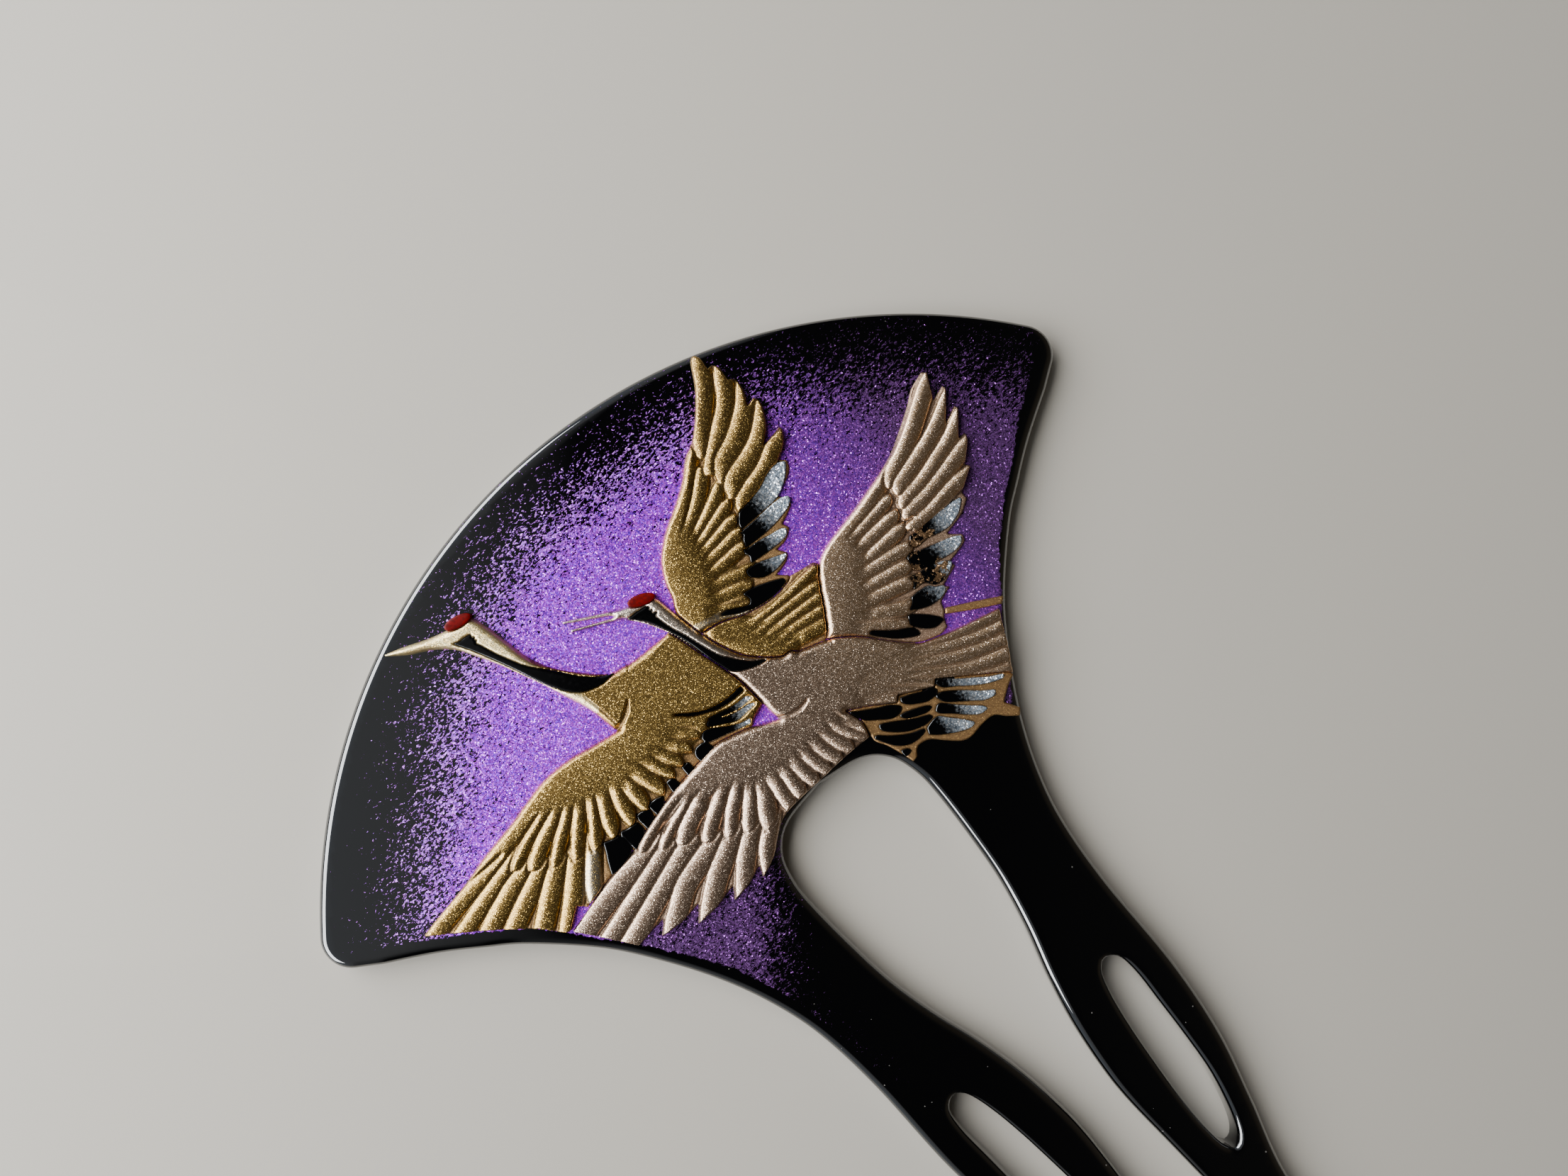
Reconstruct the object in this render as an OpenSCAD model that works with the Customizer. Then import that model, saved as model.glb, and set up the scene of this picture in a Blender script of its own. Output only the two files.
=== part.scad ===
// Lacquered hair ornament: a flat head shaped like a plectrum that runs down into two slotted prongs.
// Two flying cranes are raised on its front, the rear one in gold and the front one in silver lacquer.
// x runs across the ornament, y up to its crest and z out of its decorated front, with the back at z = 0.
// Places on the front are pairs [x, down]: across from the middle line, and down from the crest.

/* [Body] */
// Length from the crest to the tips of the prongs
body_l = 134; // [128:1:145]
// Width of the head from corner to corner
body_w = 90; // [88:0.5:92]
// Thickness of the plate
body_t = 3; // [2.6:0.1:4]
// Radius of the crest's arc
crest_r = 56.2; // [55:0.1:58]
// Radius of the head's two corners
corner_r = 3; // [2.5:0.1:3.5]
// Rounding of the plate's edges
edge_r = 0.9; // [0.5:0.1:1.2]
// Rounding of the edges of the slot in each prong
slot_edge_r = 0.6; // [0.3:0.1:0.8]

/* [Prongs] */
// Distance of each prong's tip from the middle line
tip_x = 6.2; // [6:0.1:6.5]
// Radius of the round tips
tip_r = 1.5; // [1.4:0.1:1.7]

/* [Raised lacquer] */
// Height of the ground that lies under the feathers
ground_h = 0.25; // [0.15:0.05:0.35]
// Height of the ridges of the feathers
feather_h = 0.7; // [0.5:0.05:0.9]
// Height of the arms of the wings, the necks and the backs
arm_h = 0.8; // [0.6:0.05:1]
// Height of the black feathers
black_h = 0.45; // [0.3:0.05:0.6]
// Height of the black stripes on the necks
stripe_h = 0.6; // [0.4:0.05:0.8]
// Height of the red crowns
crown_h = 0.95; // [0.7:0.05:1.1]
// Clearance between neighbouring pieces of lacquer
gap = 0.06; // [0.04:0.01:0.1]

/* [Hidden] */

// Steps round the crest, each corner, each tip and each rounded edge, and between the points of a curve
crest_steps = 10;
corner_steps = 5;
tip_steps = 6;
edge_steps = 2;
curve_steps = 2;

// Outer edge of the right half, below the corner: half width, down
flank = [[41.5, 27.5], [37.2, 30], [33.6, 32.5], [30.3, 35], [25.3, 40], [21.7, 45], [18.8, 50], [16.7, 55],
         [15.4, 60], [14.7, 67], [14.5, 77], [13.5, 85], [11.6, 92], [9.4, 99.5], [8.4, 110]];
// Edge of the opening in the right half, from the prong up to the top of the arch: half width, down
arch = [[3.9, 110], [3.3, 99.5], [2.8, 90], [2.5, 84], [2.65, 80], [3.3, 75], [4.45, 70], [5.95, 65],
        [7.05, 60], [7.6, 55], [7.9, 50], [7.75, 47], [6.8, 44.3], [4.5, 42.5], [0, 41.7]];
// Slot in the right prong: down, distances of its inner and its outer edge from the middle line
slot = [[72.3, 9.4, 10], [73.2, 8.6, 10.9], [75.5, 7.9, 11.15], [79, 7.3, 10.95], [83, 6.85, 10.7],
        [87, 6.5, 10.3], [90.5, 6.4, 9.5], [93, 6.6, 8.6], [94.1, 7.1, 7.7]];

// Cross-sections of a raised strip, as shares of its half width and of its height
round_rib = [[-1, 0], [-0.72, 0.7], [0, 1], [0.72, 0.7], [1, 0]];
plain_rib = [[-1, 0], [0, 1], [1, 0]];
// Stations along a long and a short feather: share of its length, share of its width
long_stations = [[0, 0.55], [0.3, 1], [0.72, 0.9], [1, 0.25]];
short_stations = [[0, 0.6], [0.5, 1], [1, 0.35]];

function at(x, down) = [x, body_l / 2 - down];

// Outline of the plate, with the corner's arc tangent to the crest's
corner_x = body_w / 2 - corner_r;
corner_down = crest_r - sqrt(pow(crest_r - corner_r, 2) - pow(corner_x, 2));
crest_angle = asin(corner_x / (crest_r - corner_r));
flank_angle = 150;
crest_arc = [for (i = [0:crest_steps - 1]) let (a = crest_angle * i / crest_steps)
    [crest_r * sin(a), crest_r * (1 - cos(a))]];
corner_arc = [for (i = [0:corner_steps]) let (a = crest_angle + (flank_angle - crest_angle) * i / corner_steps)
    [corner_x + corner_r * sin(a), corner_down - corner_r * cos(a)]];
tip_arc = [for (i = [0:tip_steps]) let (a = 90 + 180 * i / tip_steps)
    [tip_x + tip_r * sin(a), body_l - tip_r - tip_r * cos(a)]];

// Catmull-Rom curve through the points of a list
function blend(a, b, c, d, t) = ((2 * b) + (c - a) * t + (2 * a - 5 * b + 4 * c - d) * t * t
    + (3 * b - a - 3 * c + d) * t * t * t) / 2;
function curve(keys) = let (n = len(keys) - 1) [for (i = [0:n - 1], s = [0:curve_steps - 1])
    blend(keys[max(i - 1, 0)], keys[i], keys[i + 1], keys[min(i + 2, n)], s / curve_steps), keys[n]];

half_outline = concat(crest_arc, corner_arc, curve(flank), tip_arc, curve(arch));
half_points = len(half_outline);
plate_outline = concat(
    [for (i = [1:half_points - 1]) at(-half_outline[i].x, half_outline[i].y)],
    [for (i = [half_points - 2:-1:0]) at(half_outline[i].x, half_outline[i].y)]);

// Direction along a closed line of points at one of them, and the points moved to its left
function run_at(line, i, n) = let (run = line[(i + 1) % n] - line[(i + n - 1) % n]) run / norm(run);
function moved_in(line, inset) = let (n = len(line)) [for (i = [0:n - 1])
    let (run = run_at(line, i, n)) line[i] + inset * [-run.y, run.x]];

// Levels through the plate, as inset and height, for an edge of a given rounding
function edge_levels(r) = [for (top = [0, 1], i = [0:edge_steps])
    let (a = 90 * (top == 0 ? i : edge_steps - i) / edge_steps)
    [r * (1 - sin(a)), top == 0 ? r * (1 - cos(a)) : body_t - r * (1 - cos(a))]];

function lifted(line, z) = [for (p = line) [p.x, p.y, z]];

// Solid hull of a list of points
module hull_of(points) {
    hull() polyhedron(points = points, faces = [[for (i = [0:len(points) - 1]) i]]);
}

module plate() {
    levels = edge_levels(edge_r);
    n = len(plate_outline);
    last = len(levels) - 1;
    points = [for (v = levels) each lifted(moved_in(plate_outline, v[0]), v[1])];
    sides = [for (k = [0:last - 1], i = [0:n - 1]) let (j = (i + 1) % n)
        each [[k * n + i, k * n + n + i, k * n + n + j], [k * n + i, k * n + n + j, k * n + j]]];
    polyhedron(points = points,
               faces = concat([[for (i = [0:n - 1]) i]], sides, [[for (i = [n - 1:-1:0]) last * n + i]]));
}

// The slot's cutter in the prong on one side, flared where the slot's edges are rounded
module slot_cutter(side) {
    edge = concat([for (s = slot) at(side * s[1], s[0])],
                  [for (i = [len(slot) - 1:-1:0]) at(side * slot[i][2], slot[i][0])]);
    levels = concat([[slot_edge_r, -1]], edge_levels(slot_edge_r), [[slot_edge_r, body_t + 1]]);
    for (k = [0:len(levels) - 2])
        hull_of(concat(lifted(moved_in(edge, -side * levels[k][0]), levels[k][1]),
                       lifted(moved_in(edge, -side * levels[k + 1][0]), levels[k + 1][1])));
}

module body() {
    color([0.02, 0.02, 0.025]) difference() {
        plate();
        slot_cutter(1);
        slot_cutter(-1);
    }
}

// A strip is a list of stations [x, down, width], and the edge of one is a point on its left or right
function strip_run(rows, i) = let (a = rows[max(i - 1, 0)], b = rows[min(i + 1, len(rows) - 1)],
    run = at(b[0], b[1]) - at(a[0], a[1])) run / norm(run);
function strip_edge(rows, i, side) = let (run = strip_run(rows, i))
    at(rows[i][0], rows[i][1]) + side * rows[i][2] / 2 * [-run.y, run.x];
function strip_outline(rows) = concat([for (i = [0:len(rows) - 1]) strip_edge(rows, i, 1)],
    [for (i = [len(rows) - 1:-1:0]) strip_edge(rows, i, -1)]);
function widest(rows) = max([for (r = rows) r[2]]);

// The strip's sections in order, each from its right edge over its ridge to its left edge
function strip_points(rows, h, rib) = [for (i = [0:len(rows) - 1])
    let (rise = h * (0.5 + 0.5 * rows[i][2] / widest(rows)))
    for (r = rib) let (p = strip_edge(rows, i, r[0])) [p.x, p.y, body_t + rise * r[1]]];

module raised_strip(rows, h) {
    m = len(round_rib);
    last = (len(rows) - 1) * m;
    top = [for (i = [0:m:last - 1], j = [i:i + m - 2]) each [[j, j + 1, j + m + 1], [j, j + m + 1, j + m]]];
    base = [for (i = [0:m:last - 1]) [i, i + m, i + 2 * m - 1, i + m - 1]];
    ends = [[for (j = [m - 1:-1:0]) j], [for (j = [0:m - 1]) last + j]];
    polyhedron(points = strip_points(rows, h, round_rib), faces = concat(top, base, ends));
}

// A feather's row: root x, root down, tip x, tip down, width, how far its middle bows to its right
function feather_strip(f, stations) = let (run = [f[2] - f[0], f[3] - f[1]], side = [-run.y, run.x] / norm(run))
    [for (s = stations) let (bow = f[5] * 4 * s[0] * (1 - s[0]))
        [f[0] + run.x * s[0] + side.x * bow, f[1] + run.y * s[0] + side.y * bow, f[4] * s[1]]];
function feather_outlines(rows) = [for (f = rows) strip_outline(feather_strip(f, long_stations))];

module feathers(rows, h) {
    for (f = rows) raised_strip(feather_strip(f, long_stations), h);
}

// Feathers that lie side by side on a wing, each the hull of its sections
module primaries(rows) {
    for (f = rows) hull_of(strip_points(feather_strip(f, long_stations), feather_h, round_rib));
}

module coverts(rows) {
    for (f = rows) hull_of(strip_points(feather_strip(f, short_stations), feather_h, plain_rib));
}

function flat(places) = [for (p = places) at(p[0], p[1])];

// The flat part of the front, clear of the plate's rounded edges
module front_face() {
    offset(delta = -edge_r - 0.05) polygon(plate_outline);
}

// One piece of raised lacquer: a ground with what stands on it, cut off at its outline and clear of what covers it
module lacquer(outline, covered_by = [], ground = ground_h) {
    intersection() {
        union() {
            translate([0, 0, body_t]) linear_extrude(ground) offset(delta = 1) polygon(outline);
            children();
        }
        translate([0, 0, body_t]) linear_extrude(crown_h + 1) difference() {
            intersection() {
                polygon(outline);
                front_face();
            }
            for (piece = covered_by) offset(delta = gap) polygon(piece);
        }
    }
}

// Colours of the lacquers
gold = [0.62, 0.49, 0.24];
silver = [0.6, 0.5, 0.44];
black = [0.03, 0.03, 0.035];
red = [0.45, 0.04, 0.03];

// Gold crane: outlines, then strips [x, down, width], then feathers
gold_neck = flat([[-22.9, 5.6], [-21, 6.2], [-18.8, 7.1], [-17.2, 7.6], [-16, 7.9], [-14.4, 8.1], [-13.8, 9.6],
    [-13.2, 12.4], [-12.8, 14.4], [-12.4, 17.3], [-11.2, 19.1], [-9.7, 20.3], [-8.2, 20.8], [-7.6, 21],
    [-8.4, 24.2], [-9.4, 25.1], [-10.6, 25.3], [-11.1, 24.9], [-11.6, 22.2], [-12.4, 20], [-13.2, 17.8],
    [-14.1, 15.8], [-15.1, 13.6], [-16.3, 11.4], [-17.3, 9.7], [-18.9, 8.3], [-21, 7.1]]);
gold_neck_strip = [[-23, 5.7, 0.8], [-20.5, 6.9, 1.4], [-18.5, 7.9, 2], [-16.4, 8.6, 3], [-15.2, 10.4, 3.6],
    [-14.2, 12.9, 3], [-13.1, 15.8, 2.8], [-12.1, 18.2, 3.2], [-10.9, 20.4, 4.4], [-10.1, 22.6, 5.4],
    [-9.9, 25.6, 5]];
gold_stripe = [[-17, 9.2, 0.3], [-15.9, 9.8, 1.2], [-15.4, 11, 0.8], [-14.6, 13, 0.8], [-13.5, 15.2, 1],
    [-12.4, 17.3, 1.4], [-11.2, 19.1, 1.5], [-9.7, 20.3, 1], [-8.2, 20.8, 0.3]];
gold_left_wing = flat([[-7.4, 21], [-5, 21.3], [-1.6, 21.7], [-0.8, 24.4], [0.2, 27.6], [0.6, 30], [0.8, 32.4],
    [-0.7, 33], [-1.2, 33.1], [-3.4, 32.4], [-5, 32.1], [-8, 32.4], [-10.2, 32.7], [-12.4, 33.2], [-14.7, 33.8],
    [-16.9, 34.5], [-19.9, 34.8], [-22.4, 35.3], [-23.8, 35.8], [-24.4, 35.2], [-26.2, 36.5], [-26.9, 36.3],
    [-28.4, 34.5], [-30.4, 32.8], [-32.4, 31.2], [-34.7, 29.5], [-36.9, 27.9], [-35, 27.5], [-31, 26.8],
    [-28, 26], [-24, 25.3], [-22, 24.8], [-19, 24.2], [-16, 24.3], [-14, 24.7], [-11.2, 25.2], [-10.6, 25.5],
    [-9.3, 25.3], [-8.2, 24.4]]);
gold_left_arm = [[-29.3, 26.7, 0.5], [-25, 26.2, 1.2], [-21.5, 26, 2.4], [-18, 26.4, 4.2], [-14, 27.2, 5.2],
    [-10, 27.5, 5.4], [-6.5, 26.2, 7.6], [-3.6, 25.7, 8.4], [0.5, 26, 8.4]];
gold_left_primaries = [[-28.5, 27, -36.6, 27.9, 1.2, 0], [-26.8, 27.7, -34.8, 29.2, 1.6, 0],
    [-26.2, 29, -32.8, 31, 1.7, 0], [-25.1, 30, -30.6, 32.7, 1.7, 0], [-24.2, 30.8, -28.5, 34.4, 1.7, 0],
    [-22.4, 31.7, -27, 36, 1.7, 0], [-20.4, 32.2, -23.8, 35.6, 1.6, 0]];
gold_left_coverts = [[-21.2, 26.5, -29, 27.1, 0.9, 0], [-21.2, 27, -26.8, 28.5, 1, 0],
    [-20.2, 27.5, -25.7, 29.6, 1.1, 0], [-19.4, 28, -24, 30.4, 1.1, 0], [-18.4, 28.3, -22, 31.5, 1.2, 0],
    [-17.3, 28.6, -19.9, 31.9, 1.2, 0], [-16.2, 28.9, -18.3, 32.3, 1.1, 0], [-15.2, 29.2, -16.1, 32.5, 1.1, 0],
    [-14.1, 29.4, -14.1, 32.4, 1, 0], [-12.8, 29.4, -11.6, 32, 0.9, 0], [-12, 29.6, -10.2, 32, 0.9, 0],
    [-8.9, 29.3, -7.3, 31.3, 1, 0], [-7.3, 29.1, -5.1, 30.9, 1, 0]];
gold_left_blacks = [[-19.1, 32.8, -19.6, 34.3, 1.5, 0], [-16.8, 32.9, -17.1, 33.8, 1.3, 0],
    [-14.1, 32.7, -14.2, 33.4, 0.9, 0], [-12.5, 32.3, -12.6, 32.9, 0.9, 0], [-6.6, 31.4, -6.3, 31.9, 1.2, 0],
    [-5.8, 28, 0.4, 29.9, 0.6, 0.8], [-3.6, 30.3, 0.4, 31, 0.5, 0.1], [-4.2, 30.7, 0.3, 31.8, 0.7, 0.1],
    [-5.3, 31.1, -0.8, 32.5, 0.8, 0.1]];
gold_right_wing = flat([[0.6, 23], [0.6, 20.6], [1, 19.2], [1.5, 17.6], [2.4, 16], [3.6, 14.8], [5, 13.8],
    [7, 12.7], [9, 11.4], [10.6, 10], [12, 9.3], [13, 8.5], [14.4, 7.1], [15.8, 5.4], [17, 3.3], [17.6, 3.1],
    [18, 3.7], [17.9, 4.9], [18.4, 4.9], [18.8, 5.6], [18.7, 6.9], [19.2, 7.3], [19.2, 8.6], [18.5, 10],
    [19.4, 9.8], [19.6, 10.8], [18.6, 12.7], [17.2, 13.9], [19.4, 13.5], [19.5, 13.9], [18.8, 15], [17.4, 15.9],
    [17.9, 16.4], [17.3, 17.4], [15, 18.5], [15.9, 19.2], [15.2, 20], [13.6, 20.7], [13.9, 21.4], [12.8, 22.1],
    [11.6, 22.2], [12.2, 23.1], [11.4, 23.7], [10, 24], [10.9, 24.8], [10.4, 25.2], [8, 25.4], [5.4, 24.9],
    [3.2, 24], [1.1, 23.4]]);
gold_right_arm = [[3.4, 23.6, 5.2], [3.4, 21, 5.4], [3.8, 18.4, 4.8], [4.9, 16, 3.4], [7, 13.8, 2.2],
    [9.4, 11.8, 1.5], [12, 9.8, 1]];
gold_right_primaries = [[10.9, 11, 17.5, 3.4, 1.7, 0.5], [10.8, 12.1, 18.6, 5.3, 1.6, 0.6],
    [11.4, 13.7, 19, 7.6, 1.8, 0.6], [11.2, 15.4, 19.3, 10.1, 1.9, 0.8], [11, 17, 19.2, 13.9, 1.7, 0.5]];
gold_right_coverts = [[6.2, 15.1, 11.4, 12.1, 1, 0], [6.2, 16, 11.2, 13.8, 1, 0], [5.8, 17, 10.6, 15.7, 1, 0],
    [5.6, 17.9, 10.2, 17.1, 1, 0], [5.4, 18.9, 9.8, 18.5, 1, 0], [5.3, 19.9, 9.2, 19.9, 1, 0],
    [5.2, 20.8, 8.6, 21.1, 1, 0], [5, 21.7, 7.8, 22.2, 1, 0]];
gold_right_blacks = [[10.5, 17.9, 17.4, 16.5, 1.4, 0.2], [9.8, 19.5, 15.6, 19.3, 1.3, 0],
    [9.2, 20.8, 13.5, 21.3, 0.9, 0], [8.1, 22.3, 11.9, 23.1, 1.1, 0.1], [6.8, 24, 10.3, 24.8, 1.1, 0],
    [3.6, 23.7, 6.7, 24.6, 0.6, 0.1]];
gold_tail = flat([[1.2, 23.7], [3.2, 24.2], [5.4, 25.1], [8, 25.6], [10.6, 25.4], [12.4, 25.3], [13.2, 25.5],
    [13.3, 26], [12.4, 27.3], [11.5, 28.7], [10.5, 30.3], [9.5, 31.4], [8.6, 31.3], [6.8, 30.6], [5.2, 29.6],
    [3.4, 28.2], [2.2, 26.9], [1.5, 25.4]]);
gold_tail_root = [[2.2, 24.4, 1.4], [3.6, 25.9, 2.6], [4.8, 27.6, 3], [6, 29.4, 2.2]];
gold_tail_feathers = [[5.2, 25.9, 13, 25.8, 1, 0], [5, 26.7, 12.2, 27.1, 1, 0], [5.4, 27.6, 11.6, 28.4, 1, 0],
    [5.8, 28.5, 11, 29.5, 1, 0], [6.8, 29.5, 10.2, 30.7, 1, 0]];

// Silver crane, in the same order
silver_neck = flat([[-8.2, 14.1], [-4.3, 16.2], [-3.9, 16.5], [-2.6, 17], [-1.6, 17.4], [-0.3, 17.8],
    [0.1, 18.6], [0.3, 20], [0.6, 21.6], [1, 23.6], [1.7, 25.8], [2.7, 27.7], [4, 29.1], [5.2, 30], [4.9, 32],
    [4.7, 34.8], [4, 35.1], [2.4, 34.9], [1.2, 34.2], [1, 32], [0.8, 29.4], [0.3, 27], [-0.4, 24.6], [-1.1, 22],
    [-1.8, 20.5], [-2.7, 19], [-3.5, 18], [-4.1, 17.5], [-8.2, 15.5], [-8.1, 15.2], [-4.4, 16.9], [-4.5, 16.7],
    [-8.3, 14.4]]);
silver_neck_strip = [[-8.4, 14.7, 1.8], [-4, 17, 1.7], [-2.4, 17.9, 3.2], [-1, 19, 3.6], [-0.6, 20.8, 3],
    [-0.1, 23, 3], [0.5, 25.4, 3.2], [1.3, 27.6, 3.8], [2.5, 29.8, 5], [3, 32, 5.2], [3, 35.4, 5]];
silver_stripe = [[-3, 18.1, 0.3], [-2, 18.8, 1.1], [-1.2, 20, 0.8], [-0.5, 22, 0.6], [0.1, 24, 0.6],
    [0.8, 26.3, 0.8], [1.7, 27.9, 1.1], [2.7, 28.8, 0.7], [3.5, 29.3, 0.3]];
silver_left_wing = flat([[5.3, 30.1], [6.8, 30.8], [9.6, 31.8], [10.2, 32.4], [12, 33.8], [14.1, 36.2],
    [9.5, 37], [6.2, 38.1], [6.9, 39.8], [6.6, 41.4], [4, 41.3], [0, 41.4], [-3, 41.5], [-4.6, 41.8],
    [-5.9, 42.6], [-7.6, 43.9], [-9.7, 44.8], [-9.2, 43.6], [-11, 44.3], [-13.1, 44.6], [-12.3, 43.4],
    [-14.6, 43.9], [-17.1, 44], [-15.8, 42.5], [-18, 42.8], [-20.4, 42.6], [-19.2, 41.4], [-22.5, 41.8],
    [-24.7, 38.8], [-26.3, 36.7], [-23.6, 36], [-21.3, 35.4], [-19.1, 35], [-16.9, 34.7], [-14.7, 34],
    [-12.4, 33.4], [-10.2, 32.9], [-8, 32.6], [-5, 32.3], [-3.4, 32.6], [-1.2, 33.3], [1.2, 34.4], [2.4, 35.1],
    [4, 35.3], [4.9, 34.9]]);
silver_back = [[13.8, 36.2, 1], [11, 34.8, 4.4], [8, 34, 6.8], [5, 35, 7], [1.6, 36.6, 4.6], [-2, 35.6, 5.6],
    [-6, 34.5, 4.2], [-9.4, 33.7, 1.8], [-14, 34.4, 0.6]];
silver_left_primaries = [[-15.8, 35.2, -26, 37, 1.7, 0], [-13.8, 36.5, -24.2, 39, 1.8, 0],
    [-12.2, 37.7, -23.1, 40.8, 1.8, 0], [-10.4, 38.8, -21, 42.7, 2, 0], [-8.9, 39.9, -17.7, 44.1, 2, 0],
    [-6.9, 40.9, -13.7, 44.8, 1.9, 0], [-5.6, 41.8, -10.2, 45.2, 1.5, 0]];
silver_left_coverts = [[-10.2, 33.4, -16.2, 34.8, 1, 0], [-11.1, 34.5, -15, 35.8, 1, 0],
    [-9.1, 35.1, -13.6, 37, 1.1, 0], [-7.6, 35.9, -11.6, 38, 1.2, 0], [-6.2, 36.6, -9.9, 39.2, 1.1, 0],
    [-5.3, 37.4, -8.3, 39.9, 1, 0], [-4.4, 37.9, -6.7, 41, 1.1, 0], [-3.2, 37.9, -4.4, 41.3, 1.2, 0],
    [-2.1, 38, -2.5, 41.2, 1.2, 0], [-0.7, 38.1, -0.7, 41.2, 1.2, 0], [0.6, 38.3, 1, 41.2, 1.2, 0],
    [1.8, 38.3, 2.6, 41.2, 1.1, 0], [3, 38.2, 4.1, 41.2, 1.1, 0], [4.2, 38.2, 5.6, 41.1, 1, 0],
    [5.2, 38.1, 6.6, 40.6, 0.9, 0]];
silver_right_wing = flat([[9.5, 31.6], [10.2, 31], [11.5, 29], [12.3, 27.6], [13.5, 26], [14.5, 25.3],
    [16, 24.8], [18, 24.4], [20, 24], [22, 23.5], [24, 23], [26, 22.3], [28, 21.2], [30, 20], [31.4, 19],
    [33.2, 18.4], [33.6, 18.8], [32.3, 21.2], [33.9, 20.7], [33.8, 21.4], [31.8, 23.6], [33.5, 22.9],
    [33.5, 23.5], [31.8, 25.5], [32.6, 25.5], [32.2, 26.4], [30.6, 27.8], [30.9, 28.3], [28.6, 29.7],
    [28.6, 30.4], [27.2, 31.2], [24.9, 31.7], [26, 32.7], [25.6, 33.4], [23.4, 33.9], [23.5, 34.5], [21.4, 35.2],
    [21.8, 35.7], [20.3, 36.2], [19.9, 37.1], [19.4, 37.6], [19.1, 38.4], [18, 38.5], [16, 37.7], [14.4, 36.2],
    [12.2, 33.7], [10.3, 32.2]]);
silver_right_arm = [[9.9, 31.8, 0.8], [11.6, 30.8, 3.6], [13.6, 29.2, 6.6], [15.4, 27.8, 6.4], [17.2, 26.4, 3.8],
    [20, 25, 1.8], [23, 24, 1.4], [25.6, 23, 0.6]];
silver_right_primaries = [[23.2, 24.4, 33.4, 18.9, 1.8, 0.6], [23.4, 25.6, 33.7, 21.1, 1.7, 0.5],
    [23, 26.8, 33.3, 23.3, 1.6, 0.4], [22.5, 27.9, 32.3, 25.7, 1.5, 0.3], [22.1, 29, 30.7, 28.2, 1.4, 0.1]];
silver_right_coverts = [[17.8, 26, 22.8, 25.2, 1.1, 0], [17.8, 27, 22.3, 26.6, 1.1, 0],
    [17.4, 28, 22, 28.1, 1.1, 0], [17, 28.9, 21.5, 29.8, 1.2, 0], [16.4, 29.9, 20.2, 31.4, 1.2, 0],
    [15.8, 30.9, 19.6, 32.9, 1.2, 0], [14.9, 31.8, 18.2, 34.1, 1.2, 0], [13.6, 32.3, 16.8, 35, 1.2, 0]];
silver_right_blacks = [[22.1, 30.2, 28, 30.2, 1.3, 0.1], [20.5, 31.8, 25.6, 32.7, 1.5, 0],
    [20.6, 33.5, 23.2, 34.1, 1, 0], [17.6, 34.7, 21.2, 35.4, 1.2, 0], [17, 35.5, 19, 37.5, 1.1, 0],
    [13.4, 34.3, 16.6, 37.1, 0.7, 0]];
silver_tail = flat([[14.2, 36.4], [16, 37.9], [18, 38.7], [20, 39.3], [24, 40.3], [22.9, 42.4], [22.3, 43.6],
    [20.9, 45.9], [20.3, 45.2], [17.5, 43.2], [14.9, 41.4], [14.4, 41.9], [11.2, 40.2], [10.7, 40.7],
    [8.4, 39.1], [6.4, 38.2], [9.5, 37.1]]);
silver_tail_feathers = [[8.6, 37.6, 11, 40, 1, 0], [10.4, 37.6, 14, 41.2, 1.4, 0], [12, 37.4, 17, 42.4, 1.5, 0],
    [13.2, 37.6, 21, 44.8, 1.5, 0], [14.2, 37.7, 22.2, 43.2, 1.5, 0], [15.4, 38, 22.9, 41.7, 1.4, 0],
    [16.8, 38.5, 23.6, 40.5, 1.2, 0]];
plume_ground = flat([[6.4, 38.3], [8.4, 39.2], [10.7, 40.8], [11.2, 40.3], [14.4, 42], [14.9, 41.5],
    [17.5, 43.3], [20.3, 45.3], [20.8, 46], [19.8, 46.5], [18.5, 47.4], [19.3, 48.8], [18.8, 49.4], [17.8, 48.6],
    [16.9, 47.7], [15.5, 47.6], [14, 47.8], [13, 47.5], [11.8, 46.4], [10.8, 45.4], [9.8, 45.1], [9.2, 45.3],
    [8.8, 45.8], [8.2, 45.9], [7.8, 44.5], [7.3, 43.1], [6.7, 41.9], [7, 39.8]]);
plumes = [[7, 38.9, 10.6, 41.1, 0.8, 0.3], [11.4, 40.8, 14.2, 42.1, 0.9, 0.2], [15, 41.9, 20, 45.4, 0.9, 0.1],
    [8.1, 41.4, 12.2, 43.7, 0.8, 0.3], [10, 42, 12.8, 43, 0.7, 0.1], [14, 42.9, 18.6, 46.1, 0.9, 0.1],
    [13.1, 43.6, 16.7, 46.7, 0.9, 0.1], [11.4, 44.7, 15, 47, 1.1, 0.1], [7.2, 42.4, 10.8, 44.3, 0.7, 0.3],
    [8.1, 44.6, 8.6, 45.1, 0.5, 0]];
leg = flat([[19.7, 37.4], [20.4, 36.8], [22.6, 38], [25.2, 39.5], [24.3, 40.2], [22, 38.9]]);

// Red crown: place of its middle, and how far its front end is turned up
gold_crown = [-15.5, 7.8, 12];
silver_crown = [-1.2, 17.5, 22];
crown_half_l = 1.4;
crown_half_w = 0.58;

function crown_outline(c) = [for (a = [0:30:330])
    let (x = crown_half_l * cos(a), y = crown_half_w * sin(a))
    at(c[0], c[1]) + [x * cos(c[2]) + y * sin(c[2]), -x * sin(c[2]) + y * cos(c[2])]];

module crown(c) {
    outline = crown_outline(c);
    middle = at(c[0], c[1]);
    inner = [for (p = outline) middle + 0.6 * (p - middle)];
    color(red) hull_of(concat(lifted(outline, body_t), lifted(outline, body_t + 0.5 * crown_h),
                              lifted(inner, body_t + crown_h)));
}

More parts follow.
